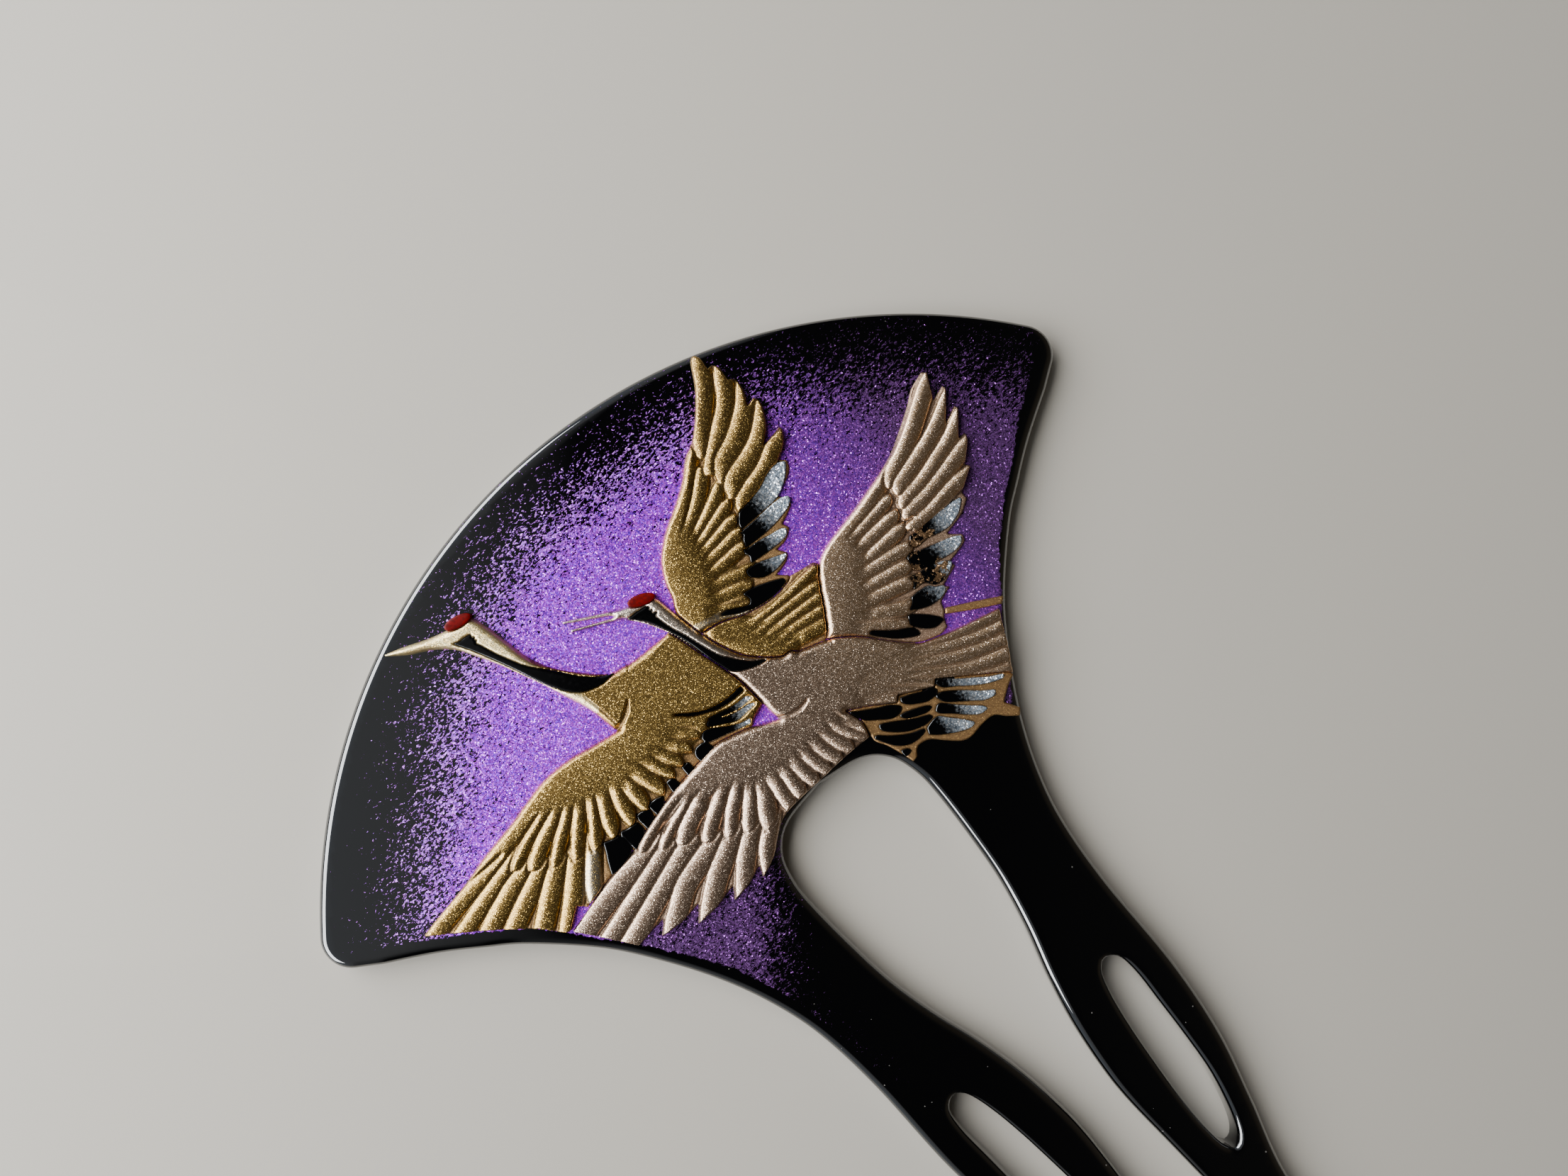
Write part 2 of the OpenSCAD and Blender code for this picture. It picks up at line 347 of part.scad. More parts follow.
module gold_crane_neck() {
    color(gold) lacquer(gold_neck, [strip_outline(gold_stripe), crown_outline(gold_crown)])
        raised_strip(gold_neck_strip, arm_h);
}

module gold_crane_left_wing() {
    covers = concat([gold_neck, silver_neck, silver_left_wing], feather_outlines(gold_left_blacks));
    color(gold) lacquer(gold_left_wing, covers) {
        raised_strip(gold_left_arm, arm_h);
        primaries(gold_left_primaries);
        coverts(gold_left_coverts);
    }
}

module gold_crane_right_wing() {
    covers = concat([silver_neck], feather_outlines(gold_right_blacks));
    color(gold) lacquer(gold_right_wing, covers) {
        raised_strip(gold_right_arm, arm_h);
        primaries(gold_right_primaries);
        coverts(gold_right_coverts);
    }
}

module gold_crane_tail() {
    color(gold) lacquer(gold_tail, [silver_neck, gold_right_wing, silver_right_wing, silver_left_wing]) {
        raised_strip(gold_tail_root, feather_h);
        coverts(gold_tail_feathers);
    }
}

module gold_crane_crown() crown(gold_crown);

module gold_crane_neck_stripe() {
    color(black) raised_strip(gold_stripe, stripe_h);
}

module gold_crane_left_flights() {
    color(black) feathers(gold_left_blacks, black_h);
}

module gold_crane_right_flights() {
    color(black) feathers(gold_right_blacks, black_h);
}

module silver_crane_neck() {
    color(silver) lacquer(silver_neck, [strip_outline(silver_stripe), crown_outline(silver_crown)])
        raised_strip(silver_neck_strip, arm_h);
}

module silver_crane_left_wing() {
    color(silver) lacquer(silver_left_wing, [silver_neck, silver_right_wing]) {
        raised_strip(silver_back, arm_h);
        primaries(silver_left_primaries);
        coverts(silver_left_coverts);
    }
}

module silver_crane_right_wing() {
    color(silver) lacquer(silver_right_wing, feather_outlines(silver_right_blacks)) {
        raised_strip(silver_right_arm, arm_h);
        primaries(silver_right_primaries);
        coverts(silver_right_coverts);
    }
}

module silver_crane_tail() {
    color(silver) lacquer(silver_tail, [silver_left_wing, silver_right_wing])
        coverts(silver_tail_feathers);
}

module silver_crane_crown() crown(silver_crown);

module silver_crane_neck_stripe() {
    color(black) raised_strip(silver_stripe, stripe_h);
}

module silver_crane_right_flights() {
    color(black) feathers(silver_right_blacks, black_h);
}

module silver_crane_plume_ground() {
    covers = concat([silver_tail, silver_left_wing], feather_outlines(plumes));
    color(gold) lacquer(plume_ground, covers);
}

module silver_crane_plumes() {
    color(black) feathers(plumes, black_h);
}

module silver_crane_leg() {
    color(gold) lacquer(leg, [silver_right_wing]);
}

body();
gold_crane_neck();
gold_crane_left_wing();
gold_crane_right_wing();
gold_crane_tail();
gold_crane_crown();
gold_crane_neck_stripe();
gold_crane_left_flights();
gold_crane_right_flights();
silver_crane_neck();
silver_crane_left_wing();
silver_crane_right_wing();
silver_crane_tail();
silver_crane_crown();
silver_crane_neck_stripe();
silver_crane_right_flights();
silver_crane_plume_ground();
silver_crane_plumes();
silver_crane_leg();
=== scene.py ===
import math

import bpy
import numpy as np
from mathutils import Matrix, Vector
from mathutils.geometry import delaunay_2d_cdt


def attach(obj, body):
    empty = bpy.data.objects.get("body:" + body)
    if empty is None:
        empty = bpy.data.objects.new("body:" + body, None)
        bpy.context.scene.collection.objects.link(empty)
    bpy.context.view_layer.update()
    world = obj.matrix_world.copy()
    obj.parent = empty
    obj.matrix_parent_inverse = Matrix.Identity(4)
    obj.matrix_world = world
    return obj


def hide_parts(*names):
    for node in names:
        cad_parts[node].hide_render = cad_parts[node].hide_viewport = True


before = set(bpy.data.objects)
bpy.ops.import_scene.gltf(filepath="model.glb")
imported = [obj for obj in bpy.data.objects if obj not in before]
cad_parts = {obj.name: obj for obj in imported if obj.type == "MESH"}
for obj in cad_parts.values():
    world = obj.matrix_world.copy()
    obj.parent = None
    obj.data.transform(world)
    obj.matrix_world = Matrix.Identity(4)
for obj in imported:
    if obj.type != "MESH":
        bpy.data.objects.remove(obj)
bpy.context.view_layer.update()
MM = 0.001

# View
# The ornament lies flat with its decorated front up. It is seen from close by and almost straight above,
# with its crest towards the upper left of the picture and its prongs towards the lower right.
PICTURE_W = 2212
FOCAL_PIXELS = 1750
SENSOR_W = 36
NEAREST = 5 * MM
CREST_TURN = math.radians(49.02)
PLATE_TILT = (math.radians(-2.7), math.radians(1.5))
EYE = Vector((3.5, 42.9, 120.6)) * MM

away = Vector((math.sin(PLATE_TILT[0]), math.sin(PLATE_TILT[1]), 0))
away.z = math.sqrt(1 - away.length_squared)
rightward = (Vector((1, 0, 0)) - away.x * away).normalized()
downward = away.cross(rightward)
across = math.sin(CREST_TURN) * rightward - math.cos(CREST_TURN) * downward
crestward = -math.cos(CREST_TURN) * rightward - math.sin(CREST_TURN) * downward
picture_axes = Matrix((across, crestward, -away))
camera = bpy.data.objects.new("camera", bpy.data.cameras.new("camera"))
bpy.context.scene.collection.objects.link(camera)
camera.data.sensor_width = SENSOR_W
camera.data.lens = SENSOR_W * FOCAL_PIXELS / PICTURE_W
camera.data.clip_start = NEAREST
camera.matrix_world = Matrix.Translation(EYE) @ (picture_axes @ Matrix.Diagonal((1, -1, -1))).to_4x4()
bpy.context.scene.camera = camera

# Light and floor
# A pale room with a broad window beyond the picture's left edge and a dim ceiling. The glossy lacquer
# mirrors the window, and the daylight from that side lights the powders and the plain pale floor.
FLOOR_HALF = 1.5
FLOOR_DROP = 0.05 * MM
LIT_SPOT = Vector((0, 0.02, 0))
# The room: how far round towards the window, from -1 behind the ornament to 1, and the colour there
SKY = ((-1.0, (0.14, 0.12, 0.09)), (-0.62, (0.09, 0.075, 0.055)), (-0.36, (0.03, 0.03, 0.028)),
       (-0.2, (0.017, 0.017, 0.017)), (0.12, (0.017, 0.017, 0.018)), (0.24, (0.37, 0.38, 0.39)),
       (0.5, (0.52, 0.58, 0.65)), (0.8, (0.34, 0.39, 0.45)), (1.0, (0.16, 0.18, 0.2)))
SKY_STRENGTH = 0.65


def colour(red, green, blue):
    """Linear colour with full alpha, from a colour as a screen shows it, 0 to 255."""
    parts = [c / 255 for c in (red, green, blue)]
    return [c / 12.92 if c <= 0.04045 else ((c + 0.055) / 1.055) ** 2.4 for c in parts] + [1]


def feed(tree, socket, value):
    """Gives a socket a value or another node's output."""
    if isinstance(value, bpy.types.NodeSocket):
        tree.links.new(value, socket)
    else:
        socket.default_value = value


def put(tree, kind, settings=None, **sockets):
    """Adds a node with its settings. Each socket takes a value or another node's output, and is named in
    lower case with _ for a space, or by its number as n0, n1 and so on."""
    node = tree.nodes.new(kind)
    for key, value in (settings or {}).items():
        setattr(node, key, value)
    names = {s.name.lower().replace(" ", "_"): s for s in reversed(node.inputs)}
    for key, value in sockets.items():
        numbered = key[0] == "n" and key[1:].isdigit()
        feed(tree, node.inputs[int(key[1:])] if numbered else names[key], value)
    return node


def reckon(tree, operation, *values):
    """Output of a maths node on values or other nodes' outputs."""
    sockets = {f"n{i}": value for i, value in enumerate(values)}
    return put(tree, "ShaderNodeMath", {"operation": operation}, **sockets).outputs[0]


def finish_named(name):
    """A new material with its tree and its shader."""
    made = bpy.data.materials.new(name)
    made.use_nodes = True
    return made, made.node_tree, made.node_tree.nodes["Principled BSDF"]


def soft_light(name, spot, size, power, tint, mirrored):
    """A light panel that faces the ornament. It either shows in the gloss or lights what is dull."""
    panel = bpy.data.lights.new(name, "AREA")
    panel.shape = "RECTANGLE"
    panel.size, panel.size_y = size
    panel.energy = power
    panel.color = tint
    lamp = bpy.data.objects.new(name, panel)
    bpy.context.scene.collection.objects.link(lamp)
    lamp.location = spot
    lamp.rotation_mode = "QUATERNION"
    lamp.rotation_quaternion = (LIT_SPOT - spot).to_track_quat("-Z", "Y")
    lamp.visible_diffuse = not mirrored
    lamp.visible_glossy = mirrored


window_side = -(picture_axes @ Vector((1, 0, 0)))
window_side.z = 0
window_side.normalize()
world = bpy.data.worlds.new("room")
bpy.context.scene.world = world
world.use_nodes = True
sky = world.node_tree
sky.nodes.clear()
facing = put(sky, "ShaderNodeVectorMath", {"operation": "DOT_PRODUCT"},
             n0=put(sky, "ShaderNodeTexCoord").outputs["Generated"], n1=window_side).outputs["Value"]
bands = put(sky, "ShaderNodeValToRGB", fac=reckon(sky, "MULTIPLY_ADD", facing, 0.5, 0.5))
for i, (side, shade) in enumerate(SKY):
    stop = bands.color_ramp.elements[i] if i < 2 else bands.color_ramp.elements.new(side / 2 + 0.5)
    stop.position = side / 2 + 0.5
    stop.color = [c / SKY_STRENGTH for c in shade] + [1]
room = put(sky, "ShaderNodeBackground", color=bands.outputs[0], strength=SKY_STRENGTH)
sky.links.new(room.outputs[0], put(sky, "ShaderNodeOutputWorld").inputs[0])

soft_light("window", window_side * 0.42 + Vector((0, 0, 0.26)), size=(1.0, 0.3), power=17,
           tint=(0.95, 0.98, 1.0), mirrored=True)
soft_light("daylight", window_side * 0.22 + Vector((0.04, 0.045, 0.19)), size=(0.4, 0.3), power=1.65,
           tint=(1.0, 0.98, 0.945), mirrored=False)

corners = [(FLOOR_HALF * x, FLOOR_HALF * y, -FLOOR_DROP) for x, y in ((-1, -1), (1, -1), (1, 1), (-1, 1))]
floor_mesh = bpy.data.meshes.new("floor")
floor_mesh.from_pydata(corners, [], [(0, 1, 2, 3)])
floor = bpy.data.objects.new("floor", floor_mesh)
bpy.context.scene.collection.objects.link(floor)
floor_finish, tree, shader = finish_named("pale_floor")
shader.inputs["Base Color"].default_value = colour(205, 200, 190)
shader.inputs["Roughness"].default_value = 0.7
floor_mesh.materials.append(floor_finish)

# Body
# One flat plate, cut from dense resin or wood: a head shaped like a plectrum that runs down into two
# prongs, each with a slot. All of it is coated in black lacquer, and its edges are rounded and polished.
# Violet powder is sprinkled on the front of the head, up to a line masked off along its sides.
BODY_L = 134
BODY_W = 90
BODY_T = 3
CREST_R = 56.2
CORNER_R = 3
EDGE_R = 0.9
SLOT_EDGE_R = 0.6
TIP_X = 6.2
TIP_R = 1.5
FLANK_ANGLE = 150
CREST_POINTS = 60
CORNER_POINTS = 24
TIP_POINTS = 30
EDGE_STEPS = 8
LINE_STEP = 0.4
FACE_STEP = 0.5
# Outer edge of the right half below the corner, then the opening's from the prong up: half width, down
FLANK = [[41.5, 27.5], [37.2, 30], [33.6, 32.5], [30.3, 35], [25.3, 40], [21.7, 45], [18.8, 50], [16.7, 55],
         [15.4, 60], [14.7, 67], [14.5, 77], [13.5, 85], [11.6, 92], [9.4, 99.5], [8.4, 110]]
ARCH = [[3.9, 110], [3.3, 99.5], [2.8, 90], [2.5, 84], [2.65, 80], [3.3, 75], [4.45, 70], [5.95, 65],
        [7.05, 60], [7.6, 55], [7.9, 50], [7.75, 47], [6.8, 44.3], [4.5, 42.5], [0, 41.7]]
# Slot in the right prong: down, distances of its inner and its outer edge from the middle line
SLOT = [[72.3, 9.4, 10], [73.2, 8.6, 10.9], [75.5, 7.9, 11.15], [79, 7.3, 10.95], [83, 6.85, 10.7],
        [87, 6.5, 10.3], [90.5, 6.4, 9.5], [93, 6.6, 8.6], [94.1, 7.1, 7.7]]
# Lines along which the violet powder stops, on the left and on the right side
LEFT_MASK = [[-42, 25.2], [-38.5, 27.3], [-36.9, 28.4], [-34.7, 29.8], [-32.4, 31.3], [-29.1, 33.8],
             [-26.9, 36.2], [-24.7, 39.1], [-22.4, 41.8], [-21.1, 43.6], [-19.1, 46.4], [-17.3, 49.3],
             [-16.2, 52], [-15.1, 54.9], [-14.2, 60]]
RIGHT_MASK = [[42, 24.8], [38, 27.5], [36.6, 28.6], [34, 30.8], [32, 32.2], [30, 34], [28, 35.8], [27, 37],
              [25.2, 39.4], [24.2, 40.6], [22.4, 43.2], [20.6, 45.8], [19.4, 47.6], [17.6, 50.4]]
# Where half of the ground is covered below the crest: degrees round it, and the depth there. The cover
# changes over a spread, and once it is thick it changes slowly.
FADE = [[-50, -42, -35, -30, -25, -15, -5, 5, 15, 25, 35, 50],
        [11.2, 11.6, 11.7, 10.2, 10.1, 8.1, 7.5, 8.3, 7.8, 7.4, 7.6, 7.4]]
FADE_SPREAD = 2.0
THICK = 1.5
THICK_GAIN = 0.35
BARE = -8
THICKEST = 4
# Right edge of the powder below the left wings: how far down, and x there. The powder thins out from so far
# down, over such a length, by so many spreads.
LOW_LEFT_EDGE = [[41, 44, 46, 48, 50, 52, 54.5, 56], [-7, -8.2, -11, -12, -13, -13.8, -14.2, -15]]
LOW_LEFT_TOP = 40
LOW_LEFT_SPREAD = 1.5
LOW_LEFT_THICK = 1.3
LOW_LEFT_THINS = (48, 7, 2.2)
# The scrap of powder between the tail and the right edge: its left and lower end, and where it thins out
LOW_RIGHT_TOP = 40.2
LOW_RIGHT_END = (17.9, 48.2)
LOW_RIGHT_THINS = (44.8, 3, 3.6)
# The powder is painted lighter at the left, as painted light from the window. Where it is painted in shade,
# on the right side and at the lower end, and over what length the painted shade comes in
PAINTED_SHADE_X = 28
PAINTED_SHADE_OVER_X = 20
PAINTED_SHADE_DOWN = 42
PAINTED_SHADE_OVER_DOWN = 8


def spots(places):
    """Places [x, down], from the middle line and from the crest, as points in the ornament's frame."""
    places = np.array(places, float)
    return np.column_stack([places[:, 0], BODY_L / 2 - places[:, 1]])


def curve(keys, steps=8):
    """Smooth curve through points."""
    keys = np.array(keys, float)
    padded = np.vstack([keys[:1], keys, keys[-1:]])
    t = np.arange(steps)[:, None] / steps
    parts = [(2 * b + (c - a) * t + (2 * a - 5 * b + 4 * c - d) * t ** 2
              + (3 * b - a - 3 * c + d) * t ** 3) / 2
             for a, b, c, d in zip(padded, padded[1:], padded[2:], padded[3:])]
    return np.vstack(parts + [keys[-1:]])


def spaced(line, step):
    """Closed line of points at an even spacing."""
    line = np.vstack([line, line[:1]])
    way = np.concatenate([[0], np.cumsum(np.linalg.norm(np.diff(line, axis=0), axis=1))])
    stops = np.linspace(0, way[-1], int(way[-1] / step), endpoint=False)
    return np.column_stack([np.interp(stops, way, line[:, 0]), np.interp(stops, way, line[:, 1])])


def moved_left(line, gap):
    """Closed line moved to its left, which is outwards for one that runs clockwise."""
    run = np.roll(line, -1, 0) - np.roll(line, 1, 0)
    run /= np.linalg.norm(run, axis=1)[:, None]
    return line + gap * np.column_stack([-run[:, 1], run[:, 0]])


def within(points, outline):
    """Whether each point lies inside a closed line."""
    found = np.zeros(len(points), bool)
    for a, b in zip(outline, np.roll(outline, -1, 0)):
        if a[1] != b[1]:
            level = (a[1] > points[:, 1]) != (b[1] > points[:, 1])
            found ^= level & (points[:, 0] < a[0] + (points[:, 1] - a[1]) * (b[0] - a[0]) / (b[1] - a[1]))
    return found


def distance(points, line, closed=True):
    """Distance of each point from a line, and whether it lies to the left of the line's nearest part."""
    ends = np.roll(line, -1, 0) if closed else line[1:]
    best = np.full(len(points), 1e9)
    left = np.zeros(len(points), bool)
    for a, b in zip(line, ends):
        run = b - a
        offset = points - a
        share = np.clip(offset @ run / max(run @ run, 1e-12), 0, 1)
        apart = np.hypot(*(offset - share[:, None] * run).T)
        nearer = apart < best
        best[nearer] = apart[nearer]
        left[nearer] = (run[0] * offset[:, 1] - run[1] * offset[:, 0])[nearer] > 0
    return best, left


def piece_from(name, points, parts):
    """Object made of points in millimetres and of parts: arrays of faces, and whether each is smooth."""
    sizes = np.concatenate([np.full(len(faces), faces.shape[1]) for faces, _ in parts])
    corners = np.concatenate([faces.ravel() for faces, _ in parts]).astype(np.int32)
    smooth = np.concatenate([np.full(len(faces), is_smooth) for faces, is_smooth in parts])
    mesh = bpy.data.meshes.new(name)
    mesh.vertices.add(len(points))
    mesh.vertices.foreach_set("co", (points * MM).astype(np.float32).ravel())
    mesh.loops.add(int(sizes.sum()))
    mesh.loops.foreach_set("vertex_index", corners)
    mesh.polygons.add(len(sizes))
    mesh.polygons.foreach_set("loop_start", (np.cumsum(sizes) - sizes).astype(np.int32))
    mesh.polygons.foreach_set("use_smooth", smooth)
    mesh.update(calc_edges=True)
    mesh.validate()
    made = bpy.data.objects.new(name, mesh)
    bpy.context.scene.collection.objects.link(made)
    return made


def mark(piece, name, values):
    """Stores a value at each point of a piece for its material to read."""
    piece.data.attributes.new(name, "FLOAT", "POINT").data.foreach_set("value", values.astype(np.float32))


def marked(tree, name):
    """The values stored under that name."""
    return put(tree, "ShaderNodeAttribute", {"attribute_name": name}).outputs["Fac"]


corner_x = BODY_W / 2 - CORNER_R
corner_down = CREST_R - math.sqrt((CREST_R - CORNER_R) ** 2 - corner_x ** 2)
crest_angle = math.asin(corner_x / (CREST_R - CORNER_R))
angles = np.linspace(0, crest_angle, CREST_POINTS)[:-1]
crest_arc = np.column_stack([CREST_R * np.sin(angles), CREST_R * (1 - np.cos(angles))])
angles = np.linspace(crest_angle, math.radians(FLANK_ANGLE), CORNER_POINTS)
corner_arc = np.column_stack([corner_x + CORNER_R * np.sin(angles), corner_down - CORNER_R * np.cos(angles)])
angles = np.linspace(math.pi / 2, 1.5 * math.pi, TIP_POINTS)
tip_arc = np.column_stack([TIP_X + TIP_R * np.sin(angles), BODY_L - TIP_R - TIP_R * np.cos(angles)])
half = np.vstack([crest_arc, corner_arc, curve(FLANK), tip_arc, curve(ARCH)])
outline = spaced(spots(np.vstack([half[1:-1] * [-1, 1], half[::-1]])), LINE_STEP)
slot_rows = np.array(SLOT)
slot_ring = np.vstack([curve(slot_rows[:, [1, 0]]), curve(slot_rows[::-1][:, [2, 0]])])
right_slot = spaced(spots(slot_ring), LINE_STEP)
left_slot = (right_slot * [-1, 1])[::-1]

# Rounded edges, in layers from the back to the front
turn = np.linspace(0, math.pi / 2, EDGE_STEPS + 1)
layers, sides, back_loops, front_loops = [], [], [], []
start = 0
rings = ((outline, EDGE_R, 1), (right_slot, SLOT_EDGE_R, -1), (left_slot, SLOT_EDGE_R, -1))
for ring, edge_r, outward in rings:
    levels = [(edge_r * (1 - math.sin(a)), edge_r * (1 - math.cos(a))) for a in turn]
    levels += [(inset, BODY_T - z) for inset, z in levels[::-1]]
    here = np.arange(len(ring))
    after = np.roll(here, -1)
    for k, (inset, z) in enumerate(levels):
        layers.append(np.column_stack([moved_left(ring, outward * inset), np.full(len(ring), z)]))
        low = start + k * len(ring)
        high = low + len(ring)
        if k + 1 < len(levels):
            side = np.column_stack([low + here, low + after, high + after, high + here])
            sides.append(side[:, ::outward])
    back_loops.append(start + here)
    front_loops.append(low + here)
    start += len(levels) * len(ring)
edges_only = np.vstack(layers)


def cap(loops, inner):
    """Triangles between the outer loop, the holes' loops and inner points, which follow all the others."""
    names = np.concatenate(loops + [np.arange(len(edges_only), len(edges_only) + len(inner))])
    flat = np.vstack([edges_only[np.concatenate(loops)][:, :2], inner])
    counts = np.cumsum([0] + [len(loop) for loop in loops])
    links = [(low + i, low + (i + 1) % (high - low)) for low, high in zip(counts, counts[1:])
             for i in range(high - low)]
    found = delaunay_2d_cdt([Vector(p) for p in flat], links, [], 0, 1e-7)
    corners = np.array([[found[3][v][0] for v in face] for face in found[2]])
    middles = flat[corners].mean(1)
    solid = within(middles, flat[:counts[1]])
    for low, high in zip(counts[1:], counts[2:]):
        solid &= ~within(middles, flat[low:high])
    return names[corners[solid]]


grid_x, grid_y = np.meshgrid(np.arange(-BODY_W / 2, BODY_W / 2, FACE_STEP),
                             np.arange(-BODY_L / 2, BODY_L / 2, FACE_STEP * math.sqrt(0.75)))
grid_x[1::2] += FACE_STEP / 2
inner = np.column_stack([grid_x.ravel(), grid_y.ravel()])
inner = inner[within(inner, moved_left(outline, EDGE_R + FACE_STEP / 2))]
for slot_line in (right_slot, left_slot):
    inner = inner[~within(inner, moved_left(slot_line, -SLOT_EDGE_R - FACE_STEP / 2))]
body_points = np.vstack([edges_only, np.column_stack([inner, np.full(len(inner), BODY_T)])])
body = piece_from("body_lacquered", body_points,
                  [(np.vstack(sides), True), (cap(front_loops, inner), True),
                   (cap(back_loops, np.zeros((0, 2)))[:, ::-1], True)])


def thinning(down, start, length, loss):
    """Loss of cover, in spreads, that grows to its full over a length from some level down."""
    return loss * np.clip((down - start) / length, 0, 1)


def powder_reach(x, down):
    """How far the violet powder reaches, in spreads of its flakes: above 0 more than half is covered."""
    from_crest = CREST_R - np.hypot(x, down - CREST_R)
    round_crest = np.degrees(np.arctan2(x, CREST_R - down))
    reach = (from_crest - np.interp(round_crest, *FADE)) / FADE_SPREAD
    reach = np.where(reach > THICK, THICK + THICK_GAIN * (reach - THICK), reach)
    low_left = np.minimum((np.interp(down, *LOW_LEFT_EDGE) - x) / LOW_LEFT_SPREAD, LOW_LEFT_THICK)
    low_left = low_left - thinning(down, *LOW_LEFT_THINS)
    reach = np.where((down > LOW_LEFT_TOP) & (x < 0), low_left, reach)
    scrap = (x > LOW_RIGHT_END[0]) & (down < LOW_RIGHT_END[1])
    low_right = np.where(scrap, THICKEST - thinning(down, *LOW_RIGHT_THINS), BARE)
    return np.where((down > LOW_RIGHT_TOP) & (x > 0), low_right, reach)


x, down = body_points[:, 0], BODY_L / 2 - body_points[:, 1]
reach = powder_reach(x, down)
reach[body_points[:, 2] < BODY_T - EDGE_R] = BARE
mark(body, "reach", np.clip(reach, BARE, THICKEST))
mask_gap, on_left = distance(body_points[:, :2], spots(LEFT_MASK), closed=False)
inside_mask = np.where(on_left, mask_gap, -mask_gap)
mask_gap, on_left = distance(body_points[:, :2], spots(RIGHT_MASK), closed=False)
inside_mask = np.minimum(inside_mask, np.where(on_left, -mask_gap, mask_gap))
mark(body, "inside_mask", np.clip(inside_mask, -3, 3))
# Painted light: 1 where the violet is painted lit, falling to 0 where it is painted in shade
bright = np.minimum((PAINTED_SHADE_X - x) / PAINTED_SHADE_OVER_X, (PAINTED_SHADE_DOWN - down) / PAINTED_SHADE_OVER_DOWN)
mark(body, "painted_window_light", np.clip(bright, 0, 1))


def ramp(tree, value, low, high, to_low=0.0, to_high=1.0):
    """A value that goes smoothly from one level to another between two limits."""
    made = put(tree, "ShaderNodeMapRange", {"interpolation_type": "SMOOTHSTEP"}, value=value, from_min=low,
               from_max=high, to_min=to_low, to_max=to_high)
    return made.outputs[0]


def blend(tree, share, first, second):
    """Mix of two colours."""
    made = put(tree, "ShaderNodeMix", {"data_type": "RGBA"}, n0=share, n6=first, n7=second)
    return made.outputs[2]


def millimetres(tree, stretch=(1, 1, 1)):
    """Place on the ornament in millimetres, stretched along each axis."""
    place = put(tree, "ShaderNodeTexCoord").outputs["Object"]
    scale = [1000 * s for s in stretch]
    return put(tree, "ShaderNodeVectorMath", {"operation": "MULTIPLY"}, n0=place, n1=scale).outputs[0]


def noise(tree, scale, detail, stretch=(1, 1, 1), **more):
    """Soft random pattern with about so many waves a millimetre."""
    return put(tree, "ShaderNodeTexNoise", vector=millimetres(tree, stretch), scale=scale, detail=detail,
               **more).outputs[0]


def grain_group():
    """Grains of metal powder: which ones glint, their tones, and their faces, each tilted at random."""
    tree = bpy.data.node_groups.new("powder grains", "ShaderNodeTree")
    for name in ("Grains per mm", "Glinting share", "Tilt", "Glint tilt"):
        tree.interface.new_socket(name, in_out="INPUT", socket_type="NodeSocketFloat")
    for name, kind in (("Glint", "Float"), ("Tone", "Float"), ("Normal", "Vector")):
        tree.interface.new_socket(name, in_out="OUTPUT", socket_type="NodeSocket" + kind)
    per_mm, share, tilt, glint_tilt = tree.nodes.new("NodeGroupInput").outputs[:4]
    made = tree.nodes.new("NodeGroupOutput")
    cells = put(tree, "ShaderNodeTexVoronoi", vector=millimetres(tree), scale=per_mm, randomness=1.0)
    parts = put(tree, "ShaderNodeSeparateColor", color=cells.outputs["Color"]).outputs
    glint = reckon(tree, "GREATER_THAN", parts[0], reckon(tree, "SUBTRACT", 1.0, share))
    tilt = reckon(tree, "ADD", tilt, reckon(tree, "MULTIPLY", glint, glint_tilt))
    chance = put(tree, "ShaderNodeTexWhiteNoise", {"noise_dimensions": "3D"},
                 vector=cells.outputs["Position"]).outputs["Color"]
    aside = put(tree, "ShaderNodeVectorMath", {"operation": "SUBTRACT"}, n0=chance, n1=(0.5, 0.5, 0.5))
    aside = put(tree, "ShaderNodeVectorMath", {"operation": "SCALE"}, vector=aside.outputs[0], scale=tilt)
    face = put(tree, "ShaderNodeNewGeometry").outputs["Normal"]
    face = put(tree, "ShaderNodeVectorMath", {"operation": "ADD"}, n0=face, n1=aside.outputs[0])
    face = put(tree, "ShaderNodeVectorMath", {"operation": "NORMALIZE"}, n0=face.outputs[0])
    for socket, value in zip(made.inputs, (glint, parts[1], face.outputs[0])):
        tree.links.new(value, socket)
    return tree


powder_grains = grain_group()


def grains(tree, per_mm, share, tilt, glint_tilt):
    """The group above, placed in a material with values for its inputs."""
    node = put(tree, "ShaderNodeGroup", {"node_tree": powder_grains}, n0=per_mm, n1=share, n2=tilt,
               n3=glint_tilt)
    return node.outputs


# Flakes of violet powder in a millimetre, across and down, and how much their pattern strays. Its grains
# and the dust on the black are counted in a millimetre too.
FLAKES_ACROSS = 2.8
FLAKES_DOWN = 4.8
FLAKES_STRAY = 0.05
VIOLET_GRAINS = 10.0
VIOLET_GLINTS = 0.1
DUST_PER_MM = 1.3
DUST_R = 0.11
BLACK_GLOSS = 0.05

